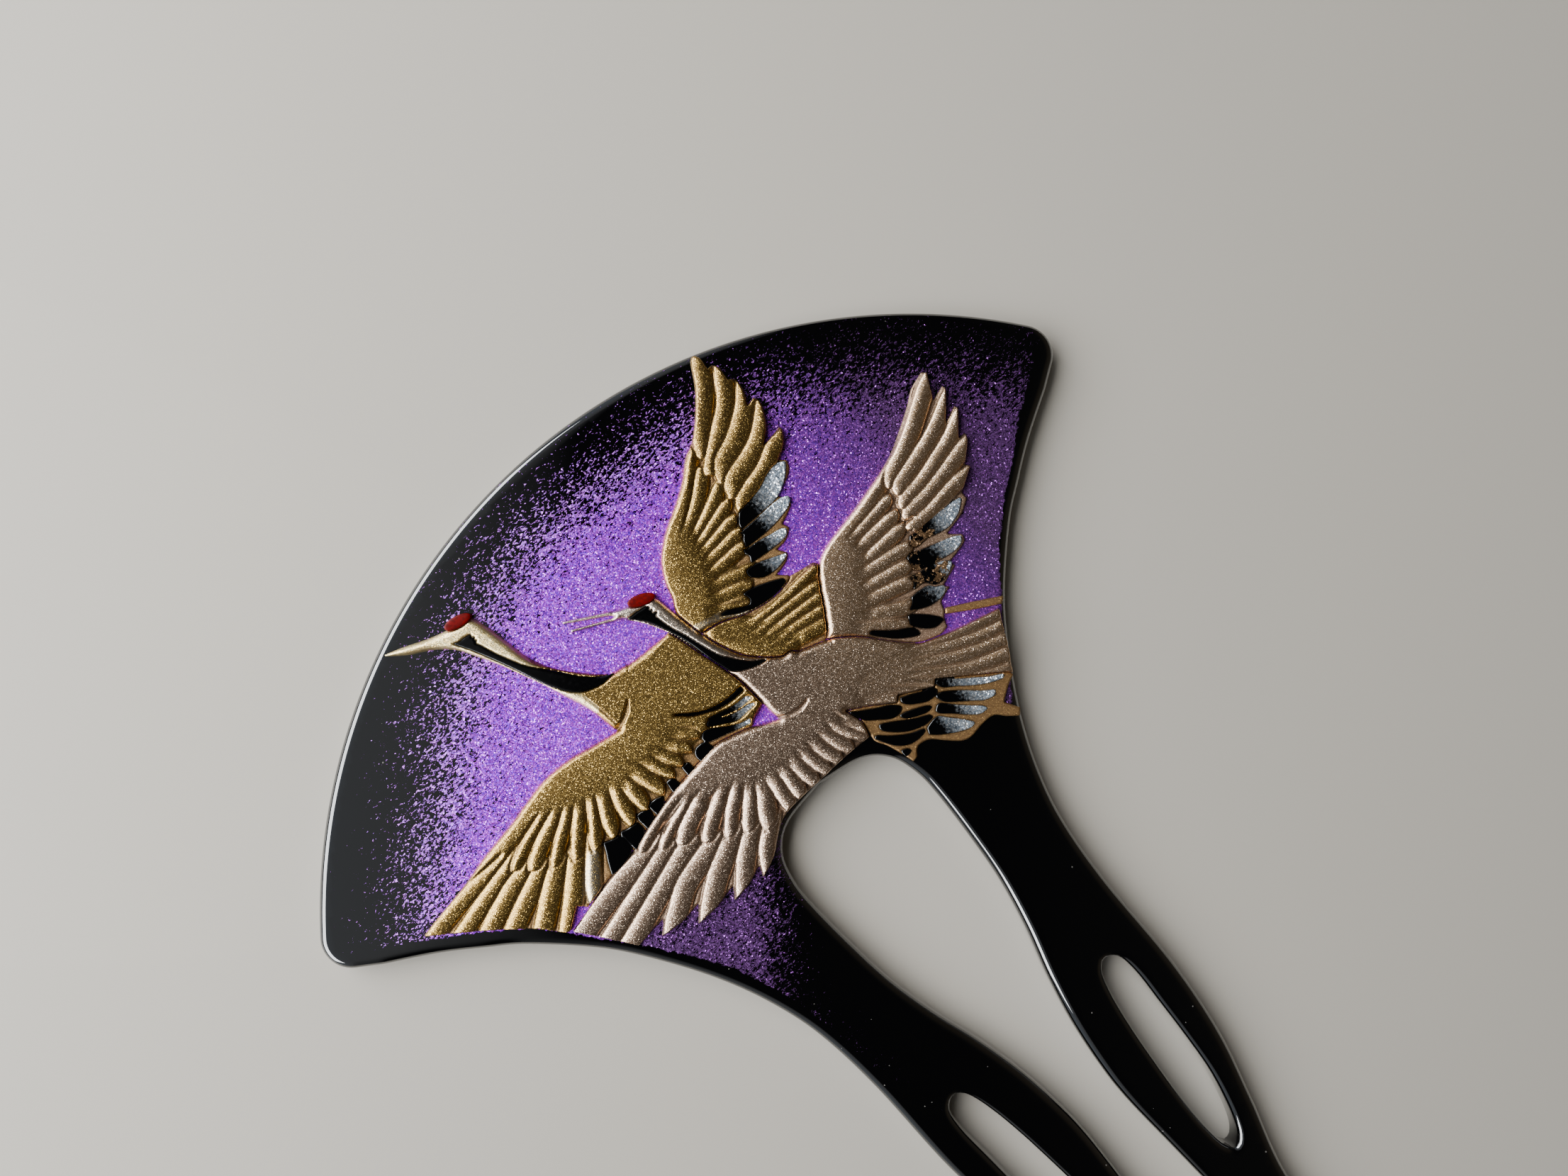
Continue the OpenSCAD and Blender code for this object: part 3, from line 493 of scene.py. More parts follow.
plate_finish, tree, shader = finish_named("black_lacquer_with_violet_powder")
worms = noise(tree, 1.0, 3.0, (FLAKES_ACROSS, FLAKES_DOWN, FLAKES_DOWN), roughness=0.72, distortion=0.5)
spread = reckon(tree, "DIVIDE", reckon(tree, "SUBTRACT", worms, 0.5), FLAKES_STRAY)
flake = ramp(tree, reckon(tree, "ADD", spread, marked(tree, "reach")), -0.15, 0.25)
ragged = noise(tree, 2.5, 1.0)
line = reckon(tree, "ADD", marked(tree, "inside_mask"), reckon(tree, "MULTIPLY_ADD", ragged, 0.5, -0.25))
violet = reckon(tree, "MULTIPLY", flake, ramp(tree, line, -0.04, 0.04))
glint, tone, face = grains(tree, VIOLET_GRAINS, VIOLET_GLINTS, reckon(tree, "MULTIPLY", violet, 0.36),
                           reckon(tree, "MULTIPLY", violet, 0.5))
# Painted light and shade: lit and shaded copies of the violet, mixed by the painted light; the glints are
# dimmed in the painted shade
painted_window_light = marked(tree, "painted_window_light")
violet_in_painted_light = blend(tree, tone, colour(100, 20, 212), colour(196, 58, 236))
dull = blend(tree, tone, colour(60, 34, 76), colour(114, 72, 132))
shade = blend(tree, painted_window_light, dull, violet_in_painted_light)
glint = reckon(tree, "MULTIPLY", glint, ramp(tree, painted_window_light, 0.0, 0.6, 0.3, 1.0))
shade = blend(tree, glint, shade, colour(214, 112, 255))
# Painted sparkle: lone flakes where the powder thins out are painted whitish where the painted light falls
lone_flake_painted_sparkle = reckon(tree, "MULTIPLY", ramp(tree, marked(tree, "reach"), -2.0, THICK, 0.4, 0.0), painted_window_light)
shade = blend(tree, lone_flake_painted_sparkle, shade, colour(230, 170, 255))
settled = put(tree, "ShaderNodeTexVoronoi", vector=millimetres(tree), scale=DUST_PER_MM, randomness=1.0)
chance = put(tree, "ShaderNodeSeparateColor", color=settled.outputs["Color"]).outputs[0]
dust = reckon(tree, "LESS_THAN", settled.outputs["Distance"], ramp(tree, chance, 0.86, 1.0, 0.0, DUST_R))
black = blend(tree, dust, colour(3, 3, 4), colour(122, 120, 117))
tree.links.new(blend(tree, violet, black, shade), shader.inputs["Base Color"])
rough = reckon(tree, "MULTIPLY_ADD", reckon(tree, "MAXIMUM", violet, dust), 0.36, BLACK_GLOSS)
tree.links.new(rough, shader.inputs["Roughness"])
tree.links.new(reckon(tree, "MULTIPLY", violet, 0.6), shader.inputs["Metallic"])
tree.links.new(face, shader.inputs["Normal"])
tree.links.new(reckon(tree, "MULTIPLY_ADD", violet, -0.8, 1.0), shader.inputs["Coat Weight"])
shader.inputs["Specular IOR Level"].default_value = 0.12
shader.inputs["Coat Roughness"].default_value = 0.02
shader.inputs["Coat IOR"].default_value = 1.8
body.data.materials.append(plate_finish)
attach(body, "root")
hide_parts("body")

# Gold crane: neck stripe and crown
# The cranes are built up in low relief from thick lacquer, layer on layer. The rear crane's neck carries a
# black stripe and its head a red crown, both of glossy lacquer laid into the powdered ground. The crown
# stands a little proud, and the stripe's front end is ragged where it meets the cheek.
CROWN_HALF = (1.35, 0.56)
CROWN_POINTS = 40
CROWN_H = 0.95
CROWN_ROUND = 0.5
STRIPE_H = 0.6
STRIPE_ROUND = 0.25
EDGE_FALL = 0.08
GOLD_STRIPE = [[-17.1, 9.1], [-16.4, 9.3], [-15.7, 9.35], [-15.2, 9.5], [-15.35, 9.75], [-15.05, 9.95],
               [-15.3, 10.1], [-15.1, 10.3], [-15.4, 10.45], [-15.1, 11.1], [-14.7, 12.2], [-14.1, 13.5],
               [-13.5, 14.7], [-12.9, 15.6], [-12.2, 16.5], [-11.4, 17.5], [-10.6, 18.6], [-9.8, 19.5],
               [-8.8, 20.4], [-7.5, 21], [-8.9, 21.1], [-10.2, 20.8], [-11.3, 20.2], [-12.2, 19.2],
               [-13, 17.8], [-13.6, 16.5], [-14.2, 15], [-14.9, 13.4], [-15.6, 11.9], [-16.2, 10.7],
               [-16.6, 10]]
GOLD_CROWN = [-15.4, 7.85, 12]
# Each piece of lacquer is a grid of cells. Its thin cells are pared off, and the corners on its rim move
# onto its edge.
CELL = 0.1
FINE_CELL = 0.07
PARINGS = 3
MOST_SHIFT = 0.8
LEAST_STEEP = 0.25
# How far from an edge depth is told, the least height, the gap to the pieces that lie over it, and how far
# a ground laps over what is laid into it. Beside another piece it falls off over a short way.
DEEPEST = 1.5
LIP = 0.04
PIECE_GAP = 0.02
INLAY_LAP = 0.03
CUT_EDGE = 0.16
CUT_FALL = 0.4
# An outline has a sharp corner where it turns by more degrees than this
SHARP_TURN = 50
SOFT_STEPS = 4


def soft(places):
    """Closed outline through places, smooth apart from its sharp corners."""
    keys = spots(places)
    before, after = keys - np.roll(keys, 1, 0), np.roll(keys, -1, 0) - keys
    turns = np.degrees(np.abs(np.angle((after @ [1, 1j]) / (before @ [1, 1j]))))
    sharp = list(np.flatnonzero(turns > SHARP_TURN))
    if not sharp:
        return curve(np.vstack([keys[-2:], keys, keys[:2]]), SOFT_STEPS)[2 * SOFT_STEPS:-2 * SOFT_STEPS]
    parts = []
    for low, high in zip(sharp, sharp[1:] + [sharp[0] + len(keys)]):
        stretch = np.roll(keys, -low, 0)[:high - low + 1]
        if high - low == len(keys):
            stretch = np.vstack([stretch, keys[low]])
        parts.append(curve(stretch, SOFT_STEPS)[:-1])
    return np.vstack(parts)


def depth_in(xs, ys, outlines):
    """How far inside the outlines each point of a grid lies, in millimetres, and negative outside them."""
    depth = np.full((len(ys), len(xs)), -DEEPEST)
    for line in outlines:
        i0, i1 = np.searchsorted(xs, [line[:, 0].min() - DEEPEST, line[:, 0].max() + DEEPEST])
        j0, j1 = np.searchsorted(ys, [line[:, 1].min() - DEEPEST, line[:, 1].max() + DEEPEST])
        gx, gy = np.meshgrid(xs[i0:i1], ys[j0:j1])
        apart = np.full(gx.shape, DEEPEST)
        for a, b in zip(line, np.roll(line, -1, 0)):
            u0, u1 = np.searchsorted(xs[i0:i1], [min(a[0], b[0]) - DEEPEST, max(a[0], b[0]) + DEEPEST])
            v0, v1 = np.searchsorted(ys[j0:j1], [min(a[1], b[1]) - DEEPEST, max(a[1], b[1]) + DEEPEST])
            px, py = gx[v0:v1, u0:u1] - a[0], gy[v0:v1, u0:u1] - a[1]
            run = b - a
            share = np.clip((px * run[0] + py * run[1]) / max(run @ run, 1e-12), 0, 1)
            near = np.hypot(px - share * run[0], py - share * run[1])
            apart[v0:v1, u0:u1] = np.minimum(apart[v0:v1, u0:u1], near)
        inside = within(np.column_stack([gx.ravel(), gy.ravel()]), line).reshape(gx.shape)
        depth[j0:j1, i0:i1] = np.maximum(depth[j0:j1, i0:i1], np.where(inside, apart, -apart))
    return depth


def rounded(depth, radius):
    """Height near an edge that is rounded over so much, as a share of the full height."""
    return np.sqrt(1 - (1 - np.clip(depth / radius, 0, 1)) ** 2)


def trimmed(kept):
    """Cells of a grid without the thin ones at its rim, and with no two joined at a corner alone."""
    for _ in range(PARINGS):
        ringed = np.pad(kept, 1).astype(int)
        kept &= ringed[:-2, 1:-1] + ringed[2:, 1:-1] + ringed[1:-1, :-2] + ringed[1:-1, 2:] >= 2
    pinched = kept[:-1, :-1] & kept[1:, 1:] & ~kept[1:, :-1] & ~kept[:-1, 1:]
    kept[:-1, :-1] &= ~pinched
    pinched = kept[1:, :-1] & kept[:-1, 1:] & ~kept[:-1, :-1] & ~kept[1:, 1:]
    kept[1:, :-1] &= ~pinched
    return kept


def floored(kept, names, count):
    """Faces of a piece of grid cells, its rim's edges and corners, and the triangles under it. names holds
    each corner's index."""
    full = np.pad(kept, 1)
    j, i = np.nonzero(kept)
    faces = np.column_stack([names[j, i], names[j, i + 1], names[j + 1, i + 1], names[j + 1, i]])
    edges = []
    for side, (dj, di) in enumerate(((-1, 0), (0, 1), (1, 0), (0, -1))):
        open_side = ~full[j + 1 + dj, i + 1 + di]
        edges.append(faces[open_side][:, [side, (side + 1) % 4]])
    edges = np.vstack(edges)
    rim = np.unique(edges)
    order = np.full(count, -1)
    order[rim] = np.arange(len(rim))
    rows, columns = np.nonzero(names >= 0)
    places = np.zeros((count, 2))
    places[names[rows, columns]] = np.column_stack([columns, rows])
    flat = places[rim]
    found = delaunay_2d_cdt([Vector(p) for p in flat], order[edges].tolist(), [], 0, 1e-5)
    under = np.array([[found[3][v][0] for v in face] for face in found[2]])
    middle = flat[under].mean(1).astype(int)
    return faces, edges, rim, order, under[kept[middle[:, 1], middle[:, 0]]]


def raised(name, outlines, height, inlays=(), over=(), cell=CELL):
    """Piece of raised lacquer on the plate's front. height gives its rise at each point, from how deep
    inside the piece's own outline that lies, and the marks that its material reads. The piece laps a little
    over the rims of its inlays, and is cut back from the pieces that lie over it."""
    everything = np.vstack(outlines)
    xs = np.arange(everything[:, 0].min() - 2 * cell, everything[:, 0].max() + 3 * cell, cell)
    ys = np.arange(everything[:, 1].min() - 2 * cell, everything[:, 1].max() + 3 * cell, cell)
    own = depth_in(xs, ys, outlines)
    cut = np.full(own.shape, DEEPEST)
    if inlays:
        cut = np.minimum(cut, -depth_in(xs, ys, inlays) + INLAY_LAP)
    if over:
        cut = np.minimum(cut, -depth_in(xs, ys, over) - PIECE_GAP)
    depth = np.minimum(own, cut)
    kept = trimmed(depth[:-1, :-1] + depth[1:, :-1] + depth[:-1, 1:] + depth[1:, 1:] > 0)
    full = np.pad(kept, 1)
    touching = full[:-1, :-1].astype(int) + full[1:, :-1] + full[:-1, 1:] + full[1:, 1:]
    used, rim = touching > 0, (touching > 0) & (touching < 4)
    slope_y, slope_x = np.gradient(depth, cell)
    steep = np.maximum(slope_x ** 2 + slope_y ** 2, LEAST_STEEP)
    step = np.clip(np.where(rim, -depth / steep, 0), -MOST_SHIFT * cell, MOST_SHIFT * cell)
    gx, gy = np.meshgrid(xs, ys)
    flat = np.column_stack([(gx + step * slope_x)[used], (gy + step * slope_y)[used]])
    inside = np.where(rim & (own <= cut), 0, np.maximum(own, 0))[used]
    from_cut = np.where(rim & (own > cut), 0, np.maximum(cut, 0))[used]
    rise, marks = height(flat, inside)
    rise = rise * (1 - CUT_FALL * (1 - rounded(from_cut, CUT_EDGE)))
    count = len(flat)
    names = np.full(used.shape, -1)
    names[used] = np.arange(count)
    upper, edges, rim_names, order, lower = floored(kept, names, count)
    below = order[edges] + count
    walls = np.column_stack([edges[:, 0], below, edges[:, 1]])
    points = np.vstack([np.column_stack([flat, BODY_T + np.maximum(rise, LIP)]),
                        np.column_stack([flat[rim_names], np.full(len(rim_names), BODY_T)])])
    piece = piece_from(name, points, [(upper, True), (walls, False), (lower[:, ::-1] + count, False)])
    for label, values in marks.items():
        mark(piece, label, np.concatenate([values, values[rim_names]]))
    return piece


def level(top, rounding):
    """Height function of a piece with one level and slightly rounded edges."""
    def height(points, inside):
        return top - EDGE_FALL * (1 - rounded(inside, rounding)), {}
    return height


def settle(piece, finish, slot, *nodes):
    """Gives a piece its finish, and its place among the ornament's solids."""
    piece.data.materials.append(finish)
    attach(piece, "root")
    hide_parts(*nodes)


def crown_outline(x, down, turned):
    """Outline of a crown: an oval whose front end is turned up by so many degrees."""
    turn = np.linspace(0, 2 * math.pi, CROWN_POINTS, endpoint=False)
    oval = CROWN_HALF[0] * np.cos(turn) + 1j * CROWN_HALF[1] * np.sin(turn)
    oval = oval * np.exp(-1j * math.radians(turned))
    return spots([[x, down]]) + np.column_stack([oval.real, oval.imag])


def stripe_and_crown(crane, stripe_places, crown_place):
    """A crane's black neck stripe and red crown. Returns their outlines."""
    outlines = [soft(stripe_places), crown_outline(*crown_place)]
    stripe = raised(crane + "_stripe_inlay", outlines[:1], level(STRIPE_H, STRIPE_ROUND), cell=FINE_CELL)
    settle(stripe, gloss_black, "black_feather", crane + "_neck_stripe")
    crown = raised(crane + "_crown_dome", outlines[1:], level(CROWN_H, CROWN_ROUND), cell=FINE_CELL)
    settle(crown, gloss_red, "red_lacquer", crane + "_crown")
    return outlines


gloss_black, tree, shader = finish_named("gloss_black_lacquer")
specks = noise(tree, 2.2, 3.0)
tree.links.new(ramp(tree, specks, 0.35, 0.75, 0.05, 0.16), shader.inputs["Roughness"])
shader.inputs["Base Color"].default_value = colour(5, 5, 6)
gloss_red, tree, shader = finish_named("gloss_red_lacquer")
cloud = ramp(tree, noise(tree, 3.0, 3.0), 0.3, 0.7)
tree.links.new(blend(tree, cloud, colour(88, 3, 3), colour(122, 5, 5)), shader.inputs["Base Color"])
shader.inputs["Roughness"].default_value = 0.36
shader.inputs["Specular IOR Level"].default_value = 0.1
gold_inlays = stripe_and_crown("gold_crane", GOLD_STRIPE, GOLD_CROWN)

# Gold crane: black feathers of its left wing
# Glossy black lacquer, laid into the gold ground. Those by the body are dusted with bluish silver towards
# their tips.
BLACK_H = 0.42
BLACK_FALL = 0.03
BLACK_ROUND = 0.15
LAID_STEP = 0.12
LAID_MORE = 0.07
WORN_R = 0.9
SILVER_GRAINS = 9.0
SILVER_GLINTS = 0.3
# A shape is the places x where the silver starts and is full, then places round its edge, clockwise. PLAIN
# stands for places x that no shape reaches.
PLAIN = (99, 100)
GOLD_LEFT_BLACKS = [
    (PLAIN, (-18.7, 32.4), (-17.9, 32.7), (-17.3, 32.8), (-17, 33.4), (-17.1, 34.5), (-18, 34.9),
     (-19.2, 35.1), (-20, 35.1), (-19.5, 34), (-19, 33.1)),
    (PLAIN, (-16.8, 32.7), (-16.2, 32.9), (-15.2, 33), (-15.1, 33.8), (-15.7, 34.5), (-16.8, 34.8),
     (-16.95, 33)),
    (PLAIN, (-14.7, 32.5), (-14, 32.6), (-13.5, 32.9), (-13.7, 33.8), (-14.7, 34.1), (-14.8, 33)),
    (PLAIN, (-13.3, 32.5), (-12.5, 32.5), (-11.8, 32.7), (-12.3, 33.5), (-13.2, 33.7)),
    (PLAIN, (-10.6, 32), (-10, 32), (-9.8, 32.9), (-10.7, 33.1)),
    (PLAIN, (-8.6, 31.9), (-7.9, 31.9), (-7.9, 32.8), (-8.6, 32.8)),
    (PLAIN, (-6.9, 32), (-6.6, 31.5), (-6, 31.4), (-5.4, 31.5), (-5.2, 32.6), (-6.8, 32.7)),
    ((-2.5, -1), (-5.4, 31.1), (-5, 30.7), (-4.4, 30.8), (-3.6, 31.3), (-2.7, 31.9), (-1.7, 32.4),
     (-0.8, 32.6), (-1, 32.9), (-2.4, 32.5), (-3.7, 32.1), (-4.8, 31.8), (-5.3, 31.5)),
    ((-2, 0.3), (-4.3, 30.5), (-4, 30.2), (-3.5, 30.4), (-2.6, 30.9), (-1.4, 31.3), (0, 31.5), (0.5, 31.8),
     (-0.3, 31.9), (-1.8, 31.9), (-3, 31.3), (-3.9, 30.8)),
    ((-1.5, 0.5), (-3.9, 30), (-3.4, 30.1), (-2.3, 30.4), (-1, 30.7), (0.3, 30.8), (0.6, 31.2),
     (-0.6, 31.2), (-2, 30.9), (-3.2, 30.4)),
    (PLAIN, (-6, 27.6), (-5.4, 28), (-4.6, 28.6), (-3.6, 29.2), (-2.4, 29.6), (-1, 29.8), (0.5, 29.7),
     (0.5, 30.2), (-0.8, 30.2), (-2.2, 30), (-3.4, 29.5), (-4.6, 28.9), (-5.4, 28.2))]


def laid_in(name, node, shapes, worn=()):
    """Black feathers laid in, a little wider than their shapes. Returns their outlines, over whose rims the
    ground laps. worn holds places round which the lacquer has rubbed off."""
    outlines = [moved_left(spaced(soft(shape[1:]), LAID_STEP), LAID_MORE) for shape in shapes]

    def height(points, inside):
        shine, nearest = np.zeros(len(points)), np.full(len(points), 1e9)
        for shape, line in zip(shapes, outlines):
            apart = np.where(within(points, line), 0, distance(points, line)[0])
            nearer = apart < nearest
            nearest[nearer] = apart[nearer]
            start, full = shape[0]
            shine[nearer] = ((points[:, 0] - start) / (full - start))[nearer]
        rubbed = np.full(len(points), -3.0)
        for spot in spots(worn) if len(worn) else ():
            rubbed = np.maximum(rubbed, 1 - np.hypot(*(points - spot).T) / WORN_R)
        rise = BLACK_H - BLACK_FALL * (1 - rounded(inside, BLACK_ROUND))
        return rise, {"shine": np.clip(shine, -1, 1.5), "worn": rubbed}

    settle(raised(name, outlines, height, cell=FINE_CELL), silvered_black, "black_feather", node)
    return outlines


silvered_black, tree, shader = finish_named("black_lacquer_with_silver_powder")
cloud = noise(tree, 3.4, 3.0)
cover = reckon(tree, "ADD", marked(tree, "shine"), reckon(tree, "MULTIPLY_ADD", cloud, 1.0, -0.5))
cover = ramp(tree, cover, 0.0, 1.0)
chips = reckon(tree, "MULTIPLY_ADD", noise(tree, 2.1, 4.0, roughness=0.65), 6.0, -3.3)
chips = ramp(tree, reckon(tree, "ADD", marked(tree, "worn"), chips), 0.1, 0.22)
rough = reckon(tree, "MAXIMUM", cover, chips)
glint, tone, face = grains(tree, SILVER_GRAINS, SILVER_GLINTS, reckon(tree, "MULTIPLY", rough, 0.4),
                           reckon(tree, "MULTIPLY", rough, 0.5))
silvered = blend(tree, tone, colour(130, 146, 164), colour(200, 212, 224))
silvered = blend(tree, glint, silvered, colour(246, 250, 254))
dressed = blend(tree, cover, colour(4, 4, 5), silvered)
tree.links.new(blend(tree, chips, dressed, colour(112, 86, 60)), shader.inputs["Base Color"])
tree.links.new(reckon(tree, "MULTIPLY_ADD", rough, 0.34, 0.1), shader.inputs["Roughness"])
tree.links.new(reckon(tree, "MULTIPLY", rough, 0.9), shader.inputs["Metallic"])
tree.links.new(face, shader.inputs["Normal"])
shader.inputs["Coat Weight"].default_value = 0.3
gold_left_blacks = laid_in("gold_crane_left_black_feathers", "gold_crane_left_flights", GOLD_LEFT_BLACKS)

# Silver crane: outlines
# The front crane lies over the rear one, so the gold pieces are cut back from these lines. Where pieces of
# one colour lie on each other, the lower one's outline runs on under the upper one.
SILVER_NECK = [[-8.2, 14.1], [-4.3, 16.2], [-3.9, 16.5], [-2.6, 17], [-1.6, 17.4], [-0.3, 17.8],
               [0.1, 18.6], [0.3, 20], [0.6, 21.6], [1, 23.6], [1.7, 25.8], [2.7, 27.7], [4, 29.1],
               [5.3, 30.1], [6.8, 30.8], [8.5, 36], [3, 37], [1.2, 34.2], [1, 32], [0.8, 29.4], [0.3, 27],
               [-0.4, 24.6], [-1.1, 22], [-1.8, 20.5], [-2.7, 19], [-3.5, 18], [-4.1, 17.5], [-8.2, 15.5],
               [-8.1, 15.2], [-4.4, 16.95], [-4.5, 16.65], [-8.3, 14.4]]
SILVER_LEFT_WING = [[5.3, 30.1], [6.8, 30.8], [9.6, 31.8], [10.2, 32.4], [12, 33.8], [14.1, 36.2],
                    [14, 37.4], [9.5, 38.4], [6.5, 38.1], [7, 39.8], [6.6, 41.4], [4, 41.3], [0, 41.4],
                    [-3, 41.5], [-4.6, 41.8], [-5.9, 42.6], [-7.6, 43.9], [-9.7, 44.8], [-9.2, 43.6],
                    [-11, 44.3], [-13.1, 44.6], [-12.3, 43.4], [-14.6, 43.9], [-17.1, 44], [-15.8, 42.5],
                    [-18, 42.8], [-20.4, 42.6], [-19.2, 41.4], [-22.5, 41.8], [-24.7, 38.8], [-26.3, 36.7],
                    [-23.6, 36], [-21.3, 35.4], [-19.1, 35], [-16.9, 34.7], [-14.7, 34], [-12.4, 33.4],
                    [-10.2, 32.9], [-8, 32.6], [-5, 32.3], [-3.4, 32.6], [-1.2, 33.3], [1.2, 34.4], [3, 33],
                    [4, 31]]
SILVER_RIGHT_WING = [[9.5, 31.7], [10.2, 31], [11.5, 29], [12.3, 27.6], [13.5, 26], [14.5, 25.3],
                     [16, 24.8], [18, 24.4], [20, 24], [22, 23.5], [24, 23], [26, 22.3], [28, 21.2],
                     [30, 20], [31.4, 19], [33.2, 18.4], [33.6, 18.8], [32.3, 21.2], [33.9, 20.7],
                     [33.8, 21.4], [31.8, 23.6], [33.5, 22.9], [33.5, 23.5], [31.8, 25.5], [32.6, 25.5],
                     [32.2, 26.4], [30.6, 27.8], [30.9, 28.3], [28.6, 29.7], [28.6, 30.4], [27.2, 31.2],
                     [24.9, 31.7], [26, 32.7], [25.6, 33.4], [23.4, 33.9], [23.5, 34.5], [21.4, 35.2],
                     [21.8, 35.7], [20.3, 36.2], [19.9, 37.1], [19.4, 37.6], [19.1, 38.4], [18, 38.5],
                     [16, 37.7], [14.4, 36.2], [12.2, 33.7], [10.3, 32.2]]
silver_neck = soft(SILVER_NECK)
silver_left_wing = soft(SILVER_LEFT_WING)
silver_right_wing = soft(SILVER_RIGHT_WING)

# Gold crane: neck, breast, back and left wing
# One raised form without a seam, dusted with gold powder while tacky: the neck widens into the breast and
# the back, and the arm of the wing comes out from behind a shallow groove. Rows of long rounded feathers
# fan out from the arm, the outer ones cut off at the line where the powder was masked.
GROUND_H = 0.25
FEATHER_H = 0.7
ARM_H = 0.8
ARM_ROUND = 0.7
TIP_ROUND = 0.3
# Across a feather: how far its crest lies from the window's side, how much lower its far edge is, and how
# much of its narrowing the near edge takes. It laps over the one before, with a seam pressed in round it.
# The seam reaches a little past its edge, and its colour is darkened there as a painted shadow.
CREST_AT = 0.42
FAR_FALL = 0.28
NEAR_SHARE = 0.25
LAP = 0.16
SEAM_HALF = 0.19
SEAM_DEPTH = 0.07
SEAM_OUT = 0.06
# Tops of the feathers below and above in each wing
UNDER_H = 0.66
UPPER_H = 0.78
PRIMARY_ENDS = (0.1, 0.9, 0.8, 2.2, 0.64)
COVERT_ENDS = (0.1, 1.0, 1.4, 0.3, 0.62)
SOFT_COVERT_ENDS = (0.1, 1.0, 1.6, 0.3, 0.73)
GOLD_NECK = [[-22.9, 5.6], [-21, 6.2], [-18.8, 7.1], [-17.2, 7.6], [-16, 7.9], [-14.4, 8.1], [-13.8, 9.6],
             [-13.2, 12.4], [-12.8, 14.4], [-12.1, 16.1], [-11.1, 17.6], [-9.6, 19.3], [-8, 20.7],
             [-6.2, 21.1], [-5.5, 23], [-7, 27], [-10, 27], [-10.6, 25.3], [-11.1, 24.9], [-11.6, 22.2],
             [-12.4, 20], [-13.2, 17.8], [-14.1, 15.8], [-15.1, 13.6], [-16.3, 11.4], [-17.3, 9.7],
             [-18.9, 8.3], [-21, 7.1]]
GOLD_LEFT_WING = [[-7.4, 21], [-5, 21.3], [-0.8, 21.4], [0.1, 24.4], [1, 27.6], [1.5, 30], [1.7, 32],
                  [0.7, 32.5], [-0.7, 33], [-1.2, 33.3], [-3.4, 32.8], [-5, 32.6], [-8, 32.9],
                  [-10.2, 33.2], [-12.4, 33.7], [-14.7, 34.3], [-16.9, 35], [-19.9, 35.3], [-22.4, 35.7],
                  [-23.8, 35.9], [-24.4, 35.2], [-26.2, 36.5], [-26.9, 36.3], [-28.4, 34.5], [-30.4, 32.8],
                  [-32.4, 31.2], [-34.7, 29.5], [-36.9, 27.9], [-35, 27.5], [-31, 26.8], [-28, 26],
                  [-24, 25.3], [-22, 24.8], [-19, 24.2], [-16, 24.3], [-14, 24.7], [-11.2, 25.2],
                  [-10.4, 25], [-9, 23]]
# Ridges, grooves, places dusted again and places painted lighter as a highlight are rows of x, down and
# width
GOLD_NECK_STRIP = [[-23, 5.7, 1.4], [-20.5, 6.9, 2], [-18.5, 7.9, 3], [-16.4, 8.6, 4.4], [-15.2, 10.4, 5],
                   [-14.2, 12.9, 5], [-13.1, 15.8, 5], [-12.1, 18.2, 5.4], [-10.9, 20.4, 7],
                   [-9.6, 22.6, 8.6], [-8.6, 25.6, 8.6]]
# Rows of the head and neck painted in a lighter colour, a painted highlight where the head faces the window
GOLD_HEAD_PAINTED_HIGHLIGHT = [[-24, 5.3, 3], [-18.5, 7.9, 4], [-15.4, 9.2, 6], [-14.6, 11.4, 4.8], [-14.1, 13.4, 3.2],
             [-13.7, 15.4, 2], [-12.9, 17.8, 1.6], [-11.8, 20.2, 1.4], [-11.1, 22.4, 0.8]]
GOLD_LEFT_ARM = [[-31, 27.4, 1.4], [-26, 26.6, 2.4], [-22.5, 26, 3.8], [-20.5, 25.8, 5.4], [-18.5, 25.9, 7],
                 [-16, 26.2, 8], [-13, 27, 8.4], [-10, 27.4, 8.6], [-6.5, 26.4, 9.8], [-3.6, 25.9, 10.4],
                 [0.5, 26.2, 11]]
GOLD_BACK = [[-8.4, 21.6, 6], [-6, 24, 11], [-2, 27, 11], [0, 29.4, 8]]
